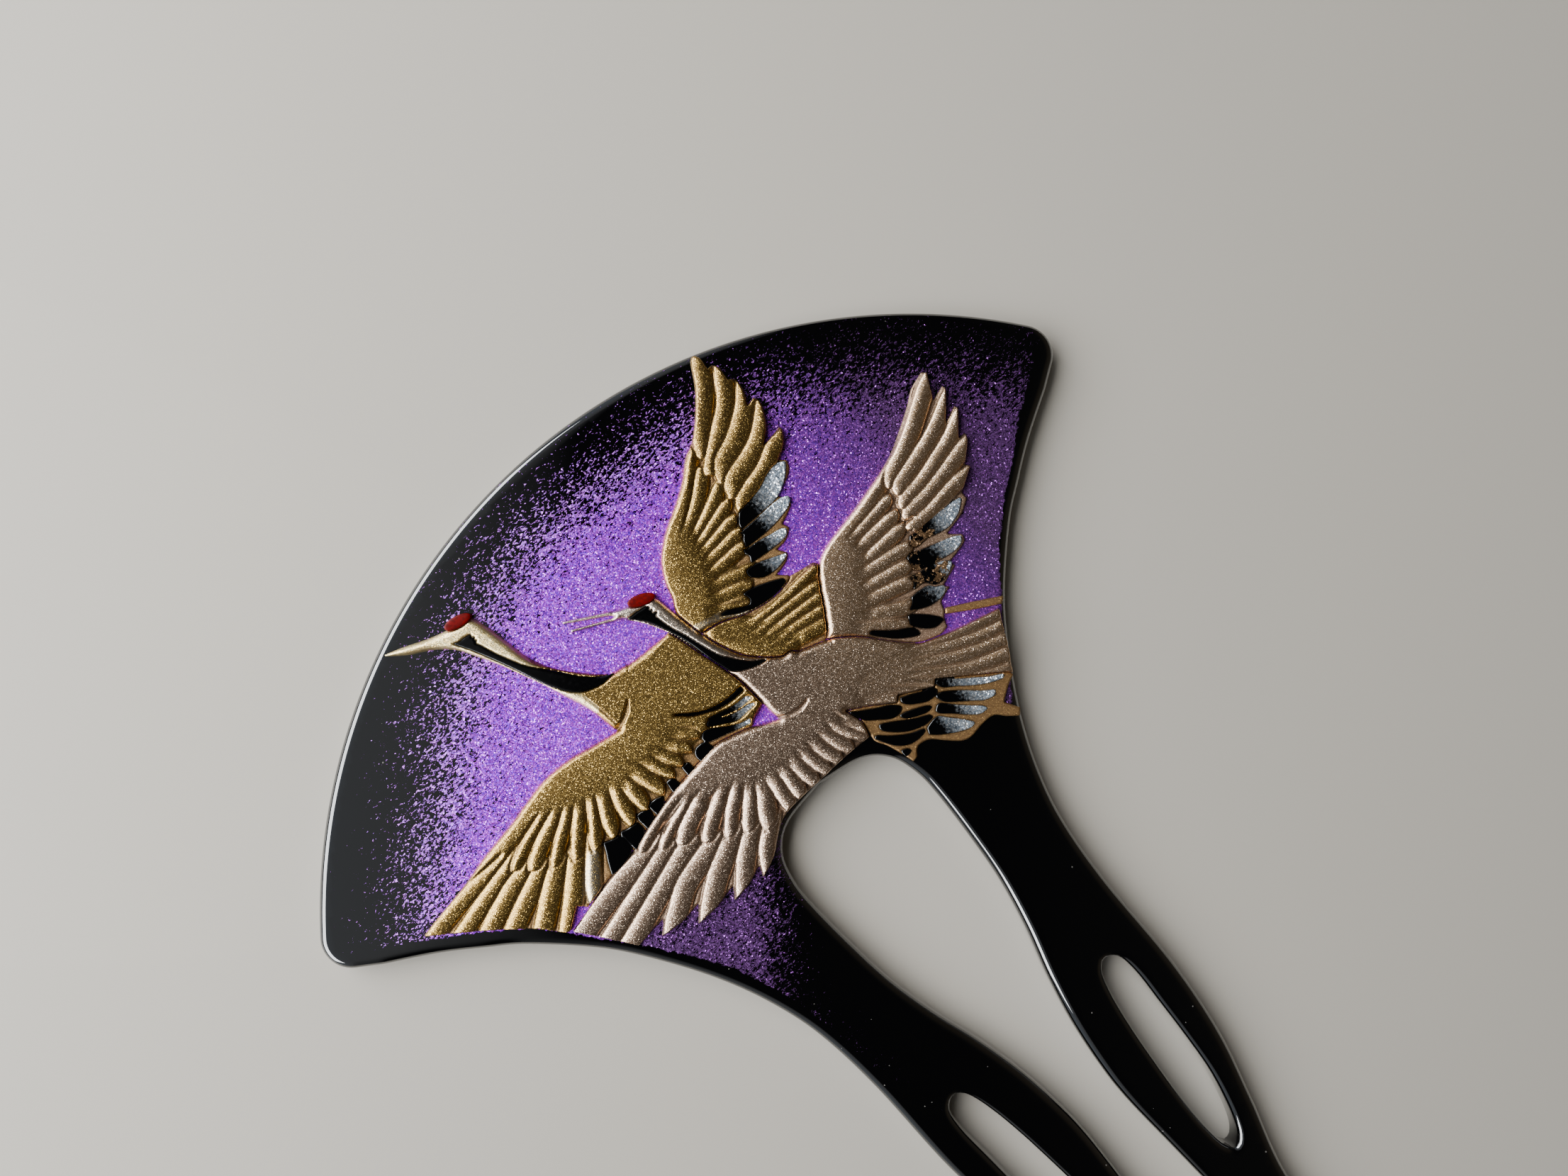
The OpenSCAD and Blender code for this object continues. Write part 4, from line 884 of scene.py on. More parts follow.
# A feather is its width, then places along its edge on the window's side, from root to tip
GOLD_LEFT_PRIMARIES = [
    (1.7, (-28.2, 26.8), (-32, 26.95), (-37.2, 27.8)), (1.7, (-26.6, 27.5), (-30.2, 28.3), (-36, 29.8)),
    (1.9, (-25.8, 28.7), (-28.4, 29.2), (-34, 31.4)), (1.9, (-25.4, 29.8), (-28.4, 31.1), (-32.4, 33)),
    (2.0, (-24.1, 30.6), (-26.4, 32.2), (-30, 34.9)), (2.0, (-22.6, 31.6), (-24.7, 33.55), (-28.2, 36.6)),
    (1.6, (-20.6, 31.9), (-22.4, 34), (-23.7, 35.8))]
GOLD_LEFT_COVERTS = [
    (1.2, (-21.2, 26.2), (-24.2, 27.1), (-26.9, 28.3)),
    (1.6, (-20.1, 26.75), (-22.9, 27.75), (-25.75, 29.3)),
    (1.35, (-19.2, 27.3), (-21.55, 28.75), (-24, 30.5)),
    (1.45, (-18.4, 27.8), (-20.2, 29.4), (-22.1, 31.4)), (1.45, (-17.2, 28), (-18.65, 30), (-20.2, 32)),
    (1.6, (-16.3, 28.3), (-17.45, 30.4), (-18.3, 32.45)),
    (1.65, (-14.95, 28.5), (-15.8, 30.6), (-16.25, 32.8)), (1.6, (-14.2, 29.3), (-14.3, 32.8)),
    (1.7, (-13, 29), (-12.05, 32.8)), (1.3, (-11.3, 29.4), (-10.2, 32.3)),
    (1.3, (-10.05, 29.6), (-8.75, 32)), (1.3, (-8.8, 29.6), (-7.2, 31.6)),
    (1.2, (-7.4, 29.4), (-5.7, 31.1))]
# A groove is its rows and its depth
GOLD_GROOVES = [([[-10.95, 25.1, 0.4], [-10, 24.95, 0.5], [-9.1, 24.5, 0.5], [-8.3, 23.8, 0.25]], 0.24),
                ([[-11.1, 20.9, 0.15], [-10.75, 22.8, 0.22], [-10.5, 24.8, 0.22]], 0.05)]
LAST_PRIMARY = [[-20.2, 32.6, 1.2], [-21.4, 34, 2], [-23.5, 36.2, 2]]


def strip_rise(points, rows, flatness):
    """Height across a strip of rows [x, down, width], as a share: 1 in its middle and 0 past its edges."""
    rows = np.array(rows, float)
    line = spots(rows[:, :2])
    best = np.zeros(len(points))
    for a, b, wide, next_wide in zip(line, line[1:], rows[:, 2] / 2, rows[1:, 2] / 2):
        run = b - a
        share = np.clip((points - a) @ run / (run @ run), 0, 1)
        apart = np.hypot(*(points - a - share[:, None] * run).T) / (wide + share * (next_wide - wide))
        best = np.maximum(best, np.sqrt(1 - np.minimum(apart, 1) ** flatness))
    return best


def beside_line(points, line):
    """Distance of each point to the left of an open line, and how far along the line it lies."""
    lengths = np.hypot(*np.diff(line, axis=0).T)
    way = np.cumsum(lengths) - lengths
    nearest, left, along = np.full(len(points), 1e9), np.zeros(len(points)), np.zeros(len(points))
    for k, (a, length) in enumerate(zip(line, lengths)):
        run = (line[k + 1] - a) / length
        offset = points - a
        held = np.clip(offset @ run, -1e9 if k == 0 else 0, 1e9 if k + 1 == len(lengths) else length)
        apart = np.hypot(*(offset - held[:, None] * run).T)
        nearer = apart < nearest
        nearest[nearer] = apart[nearer]
        left[nearer] = (run[0] * offset[:, 1] - run[1] * offset[:, 0])[nearer]
        along[nearer] = (way[k] + held)[nearer]
    return left, along, lengths.sum()


def feather_form(points, row, ends):
    """The points near a feather, how far inside its edge each lies, its height there as a share, and how
    much of it shows there. ends gives the lengths over which root and tip round off, in widths, then how
    far the root fades in and is drawn out, in millimetres, and the height of the near edge, as a share."""
    root_round, tip_round, fade_in, drawn_out, near_level = ends
    wide = row[0]
    line = spots(row[1:]) if len(row) == 3 else curve(spots(row[1:]), 3)
    start = line[0] - line[1]
    line[0] += drawn_out * start / np.hypot(*start)
    reach = wide + 0.3
    near = np.flatnonzero(((points > line.min(0) - reach) & (points < line.max(0) + reach)).all(1))
    left, along, length = beside_line(points[near], line)
    run = line[-1] - line[0]
    off = left * -np.sign(run[0] * window_side.y - run[1] * window_side.x)
    narrowing = (np.maximum(0, 1 - along / (root_round * wide)) ** 2
                 + np.maximum(0, 1 - (length - along) / (tip_round * wide)) ** 2)
    here = wide * np.sqrt(np.clip(1 - narrowing, 0, 1))
    off = off - NEAR_SHARE * (wide - here)
    edge = np.minimum(np.minimum(off, here - off), np.minimum(along, length - along) + 0.1)
    across = np.clip(off / wide, 0, 1)
    near_side = near_level + (1 - near_level) * np.sin(math.pi / 2 * np.minimum(across / CREST_AT, 1))
    far_side = 1 - FAR_FALL * (np.maximum(across - CREST_AT, 0) / (1 - CREST_AT)) ** 2
    grown = np.clip(along / fade_in, 0, 1) if fade_in else np.ones(len(along))
    return near, edge, near_side * far_side, grown * grown * (3 - 2 * grown)


def dusted(points, rows):
    """Share of lighter powder along the rows of a strip."""
    return strip_rise(points, rows, 3) if rows else np.zeros(len(points))


def ridged(strips=(), feathers=(), grooves=(), pale=(), silvery=()):
    """Height function of a piece: strips (rows, top, flatness) and feathers (rows, top, ends) on a ground,
    each feather over those before it, and grooves (rows, depth) cut into them. pale holds rows of the strips
    painted in a lighter colour as a painted highlight, and silvery rows of the strips with lighter powder."""
    def height(points, inside):
        form_rise = np.full(len(points), GROUND_H)
        seam_and_painted_shade = np.zeros(len(points))
        for rows, top, flatness in strips:
            form_rise = np.maximum(form_rise, top * strip_rise(points, rows, flatness))
        rise = np.minimum(form_rise, ARM_H * rounded(inside, ARM_ROUND))
        for rows, top, ends in feathers:
            for row in rows:
                near, edge, form, grown = feather_form(points, row, ends)
                over = np.clip(edge / LAP + 0.5, 0, 1) * grown
                # The seam line also carries a painted shadow, darkened just outside the feather's edge
                line = np.clip(1 - np.abs(edge + SEAM_OUT) / SEAM_HALF, 0, 1) * grown
                rise[near] = rise[near] * (1 - over) + top * form * over
                form_rise[near] = form_rise[near] * (1 - over) + top * form * over
                seam_and_painted_shade[near] = np.maximum(seam_and_painted_shade[near] * (1 - over), line)
        rise = np.minimum(rise - SEAM_DEPTH * seam_and_painted_shade, ARM_H * rounded(inside, TIP_ROUND))
        for rows, depth in grooves:
            sunk = strip_rise(points, rows, 2)
            rise = rise - depth * sunk
            seam_and_painted_shade = np.maximum(seam_and_painted_shade, sunk)
        crest = np.clip((form_rise - GROUND_H) / (FEATHER_H - GROUND_H), 0, 1)
        return rise, {"crest": crest, "seam_and_painted_shade": seam_and_painted_shade, "pale": dusted(points, pale),
                      "silvery": dusted(points, silvery)}
    return height


# Grains a millimetre, the share that glints, and the places x between which the plain shade turns tan
POWDER_GRAINS = 22.0
POWDER_GLINTS = 0.24
TAN_FROM = 2.0
TAN_TO = 16.0
GAP_BLACK = colour(20, 14, 8)
SILVER_DUST = (colour(150, 138, 120), colour(250, 244, 232))
SHADOW_BROWN = colour(60, 40, 20)


def darker(shade, share):
    """A share of a colour's light."""
    return [c * share for c in shade[:3]] + [1]


def powder_finish(name, deep, plain, bright, tan, light):
    """Metal powder on raised lacquer: deep colour on the low ground, partly its own duller tone and partly
    painted shade, a darker copy of it painted as shade in the seams and grooves, bright single grains, a tan
    shade towards the right side, and a light one painted on as a highlight where the rows are marked pale."""
    made, tree, shader = finish_named(name)
    pale = marked(tree, "pale")
    tilt = reckon(tree, "MULTIPLY_ADD", pale, 0.15, 0.22)
    glint, tone, face = grains(tree, POWDER_GRAINS, POWDER_GLINTS, tilt, 0.28)
    place = put(tree, "ShaderNodeSeparateXYZ", vector=millimetres(tree)).outputs[0]
    powder = blend(tree, ramp(tree, place, TAN_FROM, TAN_TO), plain, tan)
    powder = blend(tree, reckon(tree, "MULTIPLY_ADD", tone, -0.4, 0.4), powder, GAP_BLACK)
    # Painted highlight: where the rows are marked pale, the powder is painted in the light colour
    powder = blend(tree, reckon(tree, "MULTIPLY", pale, 0.85), powder, light)
    powder = blend(tree, reckon(tree, "MULTIPLY", marked(tree, "silvery"), 0.6), powder,
                   blend(tree, tone, *SILVER_DUST))
    cloud = ramp(tree, noise(tree, 0.8, 2.0), 0.3, 0.7, 0.0, 0.12)
    powder = blend(tree, cloud, powder, SHADOW_BROWN)
    # Painted shade: the low ground takes the deep colour, partly its own duller tone and partly painted
    # shade, and the seams and grooves a darker copy of it as painted shade
    low = ramp(tree, marked(tree, "crest"), 0.0, 0.15, 1.0, 0.0)
    powder = blend(tree, low, powder, blend(tree, tone, darker(deep, 0.7), deep))
    seam_and_painted_shade = reckon(tree, "MULTIPLY", marked(tree, "seam_and_painted_shade"), 0.9)
    powder = blend(tree, seam_and_painted_shade, powder, darker(deep, 0.3))
    sunk = reckon(tree, "MAXIMUM", low, seam_and_painted_shade)
    glint = reckon(tree, "MULTIPLY", glint, reckon(tree, "MULTIPLY_ADD", sunk, -0.8, 1.0))
    tree.links.new(blend(tree, glint, powder, bright), shader.inputs["Base Color"])
    rough = reckon(tree, "ADD", 0.32, reckon(tree, "MULTIPLY", sunk, 0.15))
    rough = reckon(tree, "ADD", rough, reckon(tree, "MULTIPLY", pale, 0.06))
    tree.links.new(rough, shader.inputs["Roughness"])
    tree.links.new(reckon(tree, "MULTIPLY_ADD", sunk, -0.3, 1.0), shader.inputs["Metallic"])
    tree.links.new(face, shader.inputs["Normal"])
    return made


# Its light colour is the painted highlight on the rows marked pale
gold_powder = powder_finish("gold_powder", deep=colour(142, 108, 70), plain=colour(148, 117, 64),
                            bright=colour(224, 184, 104), tan=colour(142, 111, 64),
                            light=colour(255, 236, 182))
gold_body = raised("gold_crane_neck_and_left_wing_relief", [soft(GOLD_NECK), soft(GOLD_LEFT_WING)],
                   ridged([(GOLD_NECK_STRIP, ARM_H, 6), (GOLD_LEFT_ARM, ARM_H, 2), (GOLD_BACK, ARM_H, 6)],
                          [(GOLD_LEFT_PRIMARIES, UNDER_H, PRIMARY_ENDS),
                           (GOLD_LEFT_COVERTS, UPPER_H, COVERT_ENDS)],
                          GOLD_GROOVES, pale=GOLD_HEAD_PAINTED_HIGHLIGHT, silvery=LAST_PRIMARY),
                   gold_inlays + gold_left_blacks, over=[silver_neck, silver_left_wing])
settle(gold_body, gold_powder, "gold_powder", "gold_crane_neck", "gold_crane_left_wing")

# Gold crane: right wing and its black feathers
# The wing stands up above the back. Its outer feathers curve, and lie on the ends of the inner ones. The
# black feathers below them are silvered from the middle of their length.
GOLD_OUTER_ENDS = (0.6, 1.2, 0, 0, 0.76)
GOLD_RIGHT_WING = [[0.5, 23], [0.3, 21.2], [0.6, 20], [1, 19.2], [1.5, 17.6], [2.4, 16], [3.6, 14.8],
                   [5, 13.8], [7, 12.7], [9, 11.4], [10.6, 10], [12, 9.3], [13, 8.5], [14.4, 7.1],
                   [15.8, 5.4], [17, 3.4], [17.6, 3.05], [18, 3.7], [17.9, 4.9], [18.4, 4.9], [18.8, 5.6],
                   [18.7, 6.9], [19.2, 7.3], [19.2, 8.6], [18.5, 10], [19.4, 9.8], [19.6, 10.8],
                   [18.6, 12.7], [17.2, 13.9], [19.4, 13.5], [19.5, 13.9], [18.8, 15], [17.4, 15.9],
                   [17.9, 16.4], [17.3, 17.4], [15, 18.5], [15.9, 19.2], [15.2, 20], [13.6, 20.7],
                   [13.9, 21.4], [12.8, 22.1], [11.6, 22.2], [12.2, 23.1], [11.4, 23.7], [10, 24],
                   [10.9, 24.8], [10.4, 25.2], [8, 25.4], [5.4, 24.9], [3.2, 24], [0.9, 23.5]]
GOLD_RIGHT_ARM = [[3.2, 23.6, 9], [3.4, 21, 9], [3.8, 18.4, 8], [4.9, 16, 6.4], [6.9, 13.9, 4.4],
                  [9.2, 11.9, 2.8], [11.4, 10.1, 1.4]]
GOLD_RIGHT_PRIMARIES = [
    (2.0, (11.3, 10.9), (12.3, 9.1), (13.4, 7.8), (14.6, 6.6), (15.8, 5.3), (17, 3.3), (17.7, 2.8)),
    (1.9, (10.8, 12.2), (12.8, 10.6), (14.5, 9.4), (16.2, 8), (17.3, 6.6), (18.2, 4.9)),
    (2.2, (11.2, 13.9), (12.6, 11.9), (14.8, 11), (16.7, 9.9), (18, 8.8), (19, 7.2)),
    (2.1, (11, 15.6), (12.3, 13.8), (14.6, 13.2), (16.5, 12.5), (18, 11.4), (19.6, 9.7)),
    (1.7, (10.8, 17.3), (11.7, 16), (13.2, 15.5), (15.5, 14.9), (17.2, 14), (19.5, 13.5))]
GOLD_RIGHT_COVERTS = [
    (1.5, (6, 14.9), (8.6, 13.2), (10.9, 11.2)), (1.4, (6, 15.9), (8.8, 14.8), (11.5, 13.3)),
    (1.3, (5.8, 16.8), (8.4, 16), (11.2, 15.2)), (1.3, (5.7, 17.5), (8.2, 17.1), (10.7, 16.7)),
    (1.3, (5.5, 18.4), (10.3, 18)), (1.3, (5, 19.4), (9.9, 19.3)), (1.3, (4.3, 20.3), (9.2, 21.5)),
    (1.3, (3.8, 21.2), (8, 22.6)), (1.3, (2.9, 21.9), (6.5, 24.3))]
DUSTED_EDGE = [[0.9, 22.7, 0.5], [2.2, 23.3, 1], [3.6, 23.5, 0.8], [5, 24.5, 0.8], [6.6, 25.2, 0.7],
               [8.4, 25.3, 0.4]]
GOLD_RIGHT_BLACKS = [
    ((12.5, 15.5), (11.1, 17.4), (11.3, 17.25), (12.2, 17.15), (13.4, 17), (14.4, 16.75), (15.3, 16.35),
     (16.2, 16.1), (17, 16.1), (17.6, 16.4), (17.3, 16.8), (16.7, 17.4), (15.8, 18), (14.8, 18.4),
     (13.2, 18.5), (11, 18.5), (10.4, 18.5), (10.55, 18)),
    ((11.8, 14.5), (10, 18.8), (12, 18.8), (13.5, 18.75), (15, 18.8), (15.7, 19.1), (15.5, 19.5),
     (14.6, 19.9), (13, 20.15), (11.5, 20.2), (9.5, 20.1), (9.9, 19.4), (10.25, 19.1)),
    ((10.8, 13), (9.2, 20.2), (9.5, 20.4), (10.6, 20.5), (12, 20.8), (13.1, 21), (13.5, 21.3), (13.1, 21.7),
     (12, 21.8), (10.5, 21.7), (9, 21.5), (9.3, 21), (9.1, 20.5)),
    ((9.5, 12), (8, 22), (8.3, 21.85), (9.2, 22), (10.3, 22.4), (11.3, 22.8), (12, 23.1), (11.2, 23.4),
     (10, 23.5), (9, 23.3), (8.4, 22.9), (8, 22.4)),
    (PLAIN, (3.5, 23.4), (4.2, 23.5), (5, 23.9), (5.8, 24.35), (6.3, 24.5), (6.6, 24.2), (6.6, 23.8),
     (6.45, 23.35), (7, 23.4), (8, 23.7), (9.2, 24.2), (10.2, 24.7), (10.2, 25), (9, 25.25), (7.8, 25.2),
     (6.5, 25), (5.2, 24.5), (4.3, 24))]
gold_right_blacks = laid_in("gold_crane_right_black_feathers", "gold_crane_right_flights", GOLD_RIGHT_BLACKS)
gold_right = raised("gold_crane_right_wing_relief", [soft(GOLD_RIGHT_WING)],
                    ridged([(GOLD_RIGHT_ARM, ARM_H, 2)],
                           [(GOLD_RIGHT_COVERTS, UNDER_H, SOFT_COVERT_ENDS),
                            (GOLD_RIGHT_PRIMARIES, UPPER_H, GOLD_OUTER_ENDS)], silvery=DUSTED_EDGE),
                    gold_right_blacks, over=[silver_neck])
settle(gold_right, gold_powder, "gold_powder", "gold_crane_right_wing")

# Gold crane: tail
# A fan of long feathers in the same gold powder. It lies behind the front crane's neck and right wing,
# and its root lies under the rear crane's own right wing.
GOLD_TAIL_ENDS = (0.1, 0.7, 2.5, 0, 0.72)
GOLD_TAIL = [[0.8, 23.1], [3.2, 23.5], [5.4, 24.4], [8, 24.9], [10.2, 24.8], [12.4, 25.2], [13.4, 25.4],
             [13.8, 26.1], [13, 27.4], [12.1, 28.8], [11.1, 30.4], [10.2, 31.7], [9.4, 32.2], [7.6, 31.6],
             [5.8, 31], [3.6, 29.6], [2, 28], [1.1, 26], [0.7, 24.4]]
GOLD_TAIL_ROOT = [[2.2, 24.4, 2.4], [3.6, 25.9, 4], [4.8, 27.6, 4.6], [6, 29.4, 3.6]]
GOLD_TAIL_FEATHERS = [(1.2, (4.2, 25.3), (8, 25.7), (13.4, 25.4)), (1.2, (4.6, 26.3), (12.8, 26.8)),
                      (1.2, (5.1, 27.3), (12.2, 27.8)), (1.3, (5.6, 28.1), (11.7, 28.9)),
                      (1.4, (6.1, 28.9), (11.2, 30.1))]
gold_tail = raised("gold_crane_tail_relief", [soft(GOLD_TAIL)],
                   ridged([(GOLD_TAIL_ROOT, 0.65, 3)], [(GOLD_TAIL_FEATHERS, 0.68, GOLD_TAIL_ENDS)]),
                   over=[silver_neck, soft(GOLD_RIGHT_WING), silver_right_wing, silver_left_wing])
settle(gold_tail, gold_powder, "gold_powder", "gold_crane_tail")

# Silver crane: neck stripe, crown and black feathers
# The same lacquers as on the rear crane, laid into the silver ground, and the plumes into gold. The lacquer
# of the upper black feathers has worn through to the gold ground in places.
SILVER_STRIPE = [[-3.4, 17.95], [-2.4, 18], [-1.7, 18.1], [-1.2, 18.2], [-1, 18.5], [-1.3, 18.6],
                 [-0.9, 18.8], [-1.25, 19], [-0.75, 19.3], [-1.15, 19.5], [-1.05, 20], [-0.9, 20.7],
                 [-0.6, 21.7], [-0.2, 22.7], [0.1, 23.7], [0.4, 24.6], [0.7, 25.5], [1.1, 26.4],
                 [1.7, 27.2], [2.3, 28], [3, 28.7], [4.2, 29.5], [3.3, 29.4], [2.4, 29.1], [1.4, 28.6],
                 [0.7, 28], [0.35, 27], [0.05, 26], [-0.15, 25], [-0.4, 23.8], [-0.7, 22.8], [-1.1, 21.7],
                 [-1.5, 20.8], [-1.9, 19.9], [-2.3, 19.2], [-2.9, 18.5]]
SILVER_CROWN = [-1.2, 17.45, 22]
SILVER_RIGHT_BLACKS = [
    ((24, 26.5), (22, 29.6), (23, 29.7), (24.5, 29.7), (26, 29.7), (27.3, 29.8), (28.1, 29.95),
     (27.6, 30.4), (26.8, 30.9), (25.5, 31.2), (24.2, 31), (23.2, 30.7), (21.9, 30.7), (21.4, 30.2)),
    ((22.5, 25), (20.5, 31), (20.9, 30.8), (21.4, 31.1), (22.6, 31.5), (23.8, 31.9), (25, 32.3),
     (25.7, 32.7), (25.2, 33.2), (24.2, 33.3), (23, 33.1), (21.8, 32.9), (20.6, 32.5), (20.2, 32.1)),
    ((21.8, 23), (19.4, 32.5), (20, 32.7), (21, 32.9), (21.8, 33.1), (22.9, 33.5), (23.4, 34), (22.8, 34.4),
     (21.8, 34.7), (20.8, 34.5), (20.2, 33.7), (19, 33.6), (19.4, 33.1)),
    ((19.5, 22.5), (17.4, 34.8), (18, 34.5), (18.3, 34.1), (19.2, 34.1), (20.2, 34.3), (20.6, 34.8),
     (21.3, 35.2), (21.3, 35.5), (20.6, 35.8), (19.6, 35.8), (18.6, 35.5)),
    (PLAIN, (16.9, 35.2), (17.3, 35.4), (18.3, 36.3), (19.1, 37.3), (19.2, 37.6), (18.2, 37.6), (17.3, 37),
     (16.7, 36.2), (16.5, 35.9)),
    (PLAIN, (13, 34), (13.4, 34), (14.2, 34.7), (15.2, 35.5), (16.2, 36.1), (16.6, 36.6), (16.6, 37.2),
     (15.7, 36.7), (14.6, 35.9), (13.5, 34.7))]
WORN_SPOTS = [[21.7, 30.4], [22.8, 29.9], [23.2, 30.6], [20.3, 32.4], [19.9, 33.4], [21.8, 34.1],
              [22.6, 33.7]]
PLUMES = [
    (PLAIN, (6.7, 38.4), (7.2, 38.8), (8, 39.3), (9, 39.9), (10.1, 40.5), (10.7, 41.2), (10.2, 41.5),
     (9.4, 41.4), (8.4, 40.7), (7.4, 39.9), (7, 39.3)),
    (PLAIN, (11.1, 40.9), (11.2, 40.6), (12, 40.9), (13.2, 41.5), (14, 41.7), (14.3, 42.2), (14.1, 42.5),
     (13, 42.4), (12.1, 41.9), (11.4, 41.4)),
    ((15.3, 18.5), (14.7, 41.7), (15, 41.6), (15.6, 42), (16.6, 42.9), (17.8, 43.8), (19, 44.7),
     (20.1, 45.3), (19.9, 45.5), (18.7, 45), (17.4, 44.2), (16, 43.1), (15, 42.4)),
    (PLAIN, (8, 41.2), (8.3, 41.3), (9.3, 41.9), (10.2, 42.5), (11.2, 43.1), (12.2, 43.6), (12.3, 43.9),
     (11.2, 43.9), (9.9, 43.4), (8.9, 42.7), (8.1, 41.9), (7.9, 41.5)),
    (PLAIN, (10.1, 41.8), (10.6, 41.9), (11.6, 42.3), (12.6, 42.8), (12.9, 43.1), (12.3, 43.15),
     (11.3, 42.8), (10.4, 42.3)),
    ((15.5, 17.8), (13.9, 42.7), (14.4, 42.7), (15.2, 43.2), (16.3, 44.1), (17.5, 45.2), (18.5, 45.9),
     (18.2, 46.2), (17.2, 45.9), (16.2, 45.1), (15, 44.2), (14.2, 43.5)),
    ((14.3, 16.3), (13, 43.7), (13.4, 43.4), (13.8, 43.5), (14.6, 44.4), (15.6, 45.4), (16.6, 46.3),
     (16.8, 46.7), (16, 46.6), (15, 45.8), (14, 44.8), (13.2, 44.1)),
    ((12.3, 14.5), (11.1, 44.9), (11.3, 44.4), (12.2, 44.2), (12.8, 44.3), (13.4, 45), (14.3, 46),
     (15, 46.9), (14.5, 47), (13.5, 46.6), (12.3, 45.9), (11.5, 45.3)),
    (PLAIN, (6.9, 41.8), (7.2, 41.8), (7.8, 42.4), (8.7, 43.1), (9.6, 43.7), (10.6, 44.1), (11, 44.3),
     (10.4, 44.5), (9.2, 44.4), (8.2, 43.8), (7.5, 42.9)),
    (PLAIN, (8, 44.4), (8.5, 44.6), (8.7, 44.9), (8.4, 45), (8, 45))]
silver_inlays = stripe_and_crown("silver_crane", SILVER_STRIPE, SILVER_CROWN)
silver_right_blacks = laid_in("silver_crane_right_black_feathers", "silver_crane_right_flights",
                              SILVER_RIGHT_BLACKS, WORN_SPOTS)
plumes = laid_in("silver_crane_plumes_black", "silver_crane_plumes", PLUMES)

# Silver crane: neck, back, left wing and tail
# One raised form, dusted with a pinkish silver powder, and with a paler one on the head and the neck. A
# groove marks the breast.
SILVER_PRIMARY_ENDS = (0.1, 0.9, 0.8, 2.2, 0.72)
SILVER_TAIL_ENDS = (0.1, 0.8, 3.5, 0, 0.66)
SILVER_NECK_STRIP = [[-8.4, 14.7, 2.4], [-4, 17, 2.4], [-2.4, 17.9, 4.2], [-1, 19, 4.6], [-0.6, 20.8, 4.4],
                     [-0.1, 23, 4.4], [0.5, 25.4, 4.6], [1.3, 27.6, 6], [2.5, 29.8, 8.6], [4, 32, 11],
                     [5, 35, 11]]
SILVER_PALE = [[-8.6, 14.6, 3], [-4, 17, 3.4], [-1.4, 18.4, 5], [-0.2, 20.4, 3.6], [0.8, 23.4, 2.6],
               [1.6, 26, 1.6]]
SILVER_BACK = [[14.4, 36.6, 3], [11, 34.8, 7], [8, 34.4, 10.4], [5, 35, 10.6], [1.6, 35.8, 8.8],
               [-2, 35.2, 8], [-6, 34.2, 6.2], [-9.4, 33.5, 3.4], [-14, 34.2, 1.2]]
SILVER_LEFT_PRIMARIES = [
    (2.2, (-15.8, 34.9), (-20, 35.25), (-26.1, 36.5), (-28.4, 37)),
    (1.9, (-15.4, 36), (-19.9, 37.4), (-24.9, 38.8), (-27.2, 39.5)),
    (2.0, (-13.6, 37), (-18.5, 38.67), (-23.5, 40.33), (-25.6, 41)),
    (2.1, (-11.6, 38.4), (-15.6, 39.4), (-17.5, 40.5), (-19.2, 41.6), (-20.6, 42.75)),
    (2.1, (-9.8, 39.1), (-12.8, 40.65), (-14.9, 42.05), (-17.2, 44)),
    (1.9, (-8.2, 40.1), (-10.4, 41.7), (-11.8, 43.15), (-13.2, 44.75)),
    (1.6, (-6.7, 41.1), (-8.25, 42.4), (-9.1, 43.6), (-9.8, 44.85))]
SILVER_LEFT_COVERTS = [
    (1.1, (-10, 32.9), (-12.4, 33.35), (-14.7, 34), (-16.9, 34.8)),
    (1.15, (-10, 34.1), (-12.76, 34.85), (-15.2, 35.9)), (1.75, (-8.6, 34.5), (-11.3, 35.3), (-13.8, 36.6)),
    (1.6, (-7, 35.3), (-9.67, 36.6), (-11.9, 38.1)), (1.5, (-5.7, 35.9), (-8, 37.4), (-10, 39.2)),
    (1.7, (-5, 36.7), (-6.8, 38.4), (-8.4, 40)), (1.9, (-4.2, 37.3), (-5.75, 39.3), (-6.9, 41.2)),
    (1.75, (-3.4, 37.5), (-4.2, 41.7)), (1.6, (-2.15, 37.7), (-2.6, 41.7)),
    (1.65, (-1.05, 37.8), (-0.8, 41.7)), (1.6, (0.2, 37.9), (0.85, 41.7)), (1.6, (1.5, 37.9), (2.4, 41.7)),
    (1.6, (2.85, 37.9), (3.9, 41.7)), (1.6, (4, 37.7), (5, 40.2), (6.1, 41.8)),
    (1.3, (5.2, 38.4), (6.8, 41.6))]
SILVER_SHOULDER = [[8, 33], [9.7, 32], [10.6, 31.9], [12.7, 33.3], [14.9, 35.9], [16.6, 37.5], [14, 37.6],
                   [10, 36.4]]
SILVER_TAIL = [[13, 35.5], [14.4, 36.4], [16, 37.8], [18, 38.6], [20, 39.2], [24, 40.3], [22.9, 42.4],
               [22.3, 43.6], [20.9, 45.9], [20.3, 45.2], [17.5, 43.2], [14.9, 41.4], [14.4, 41.9],
               [11.2, 40.2], [10.7, 40.7], [8.4, 39.1], [6.4, 38], [8, 35.5]]
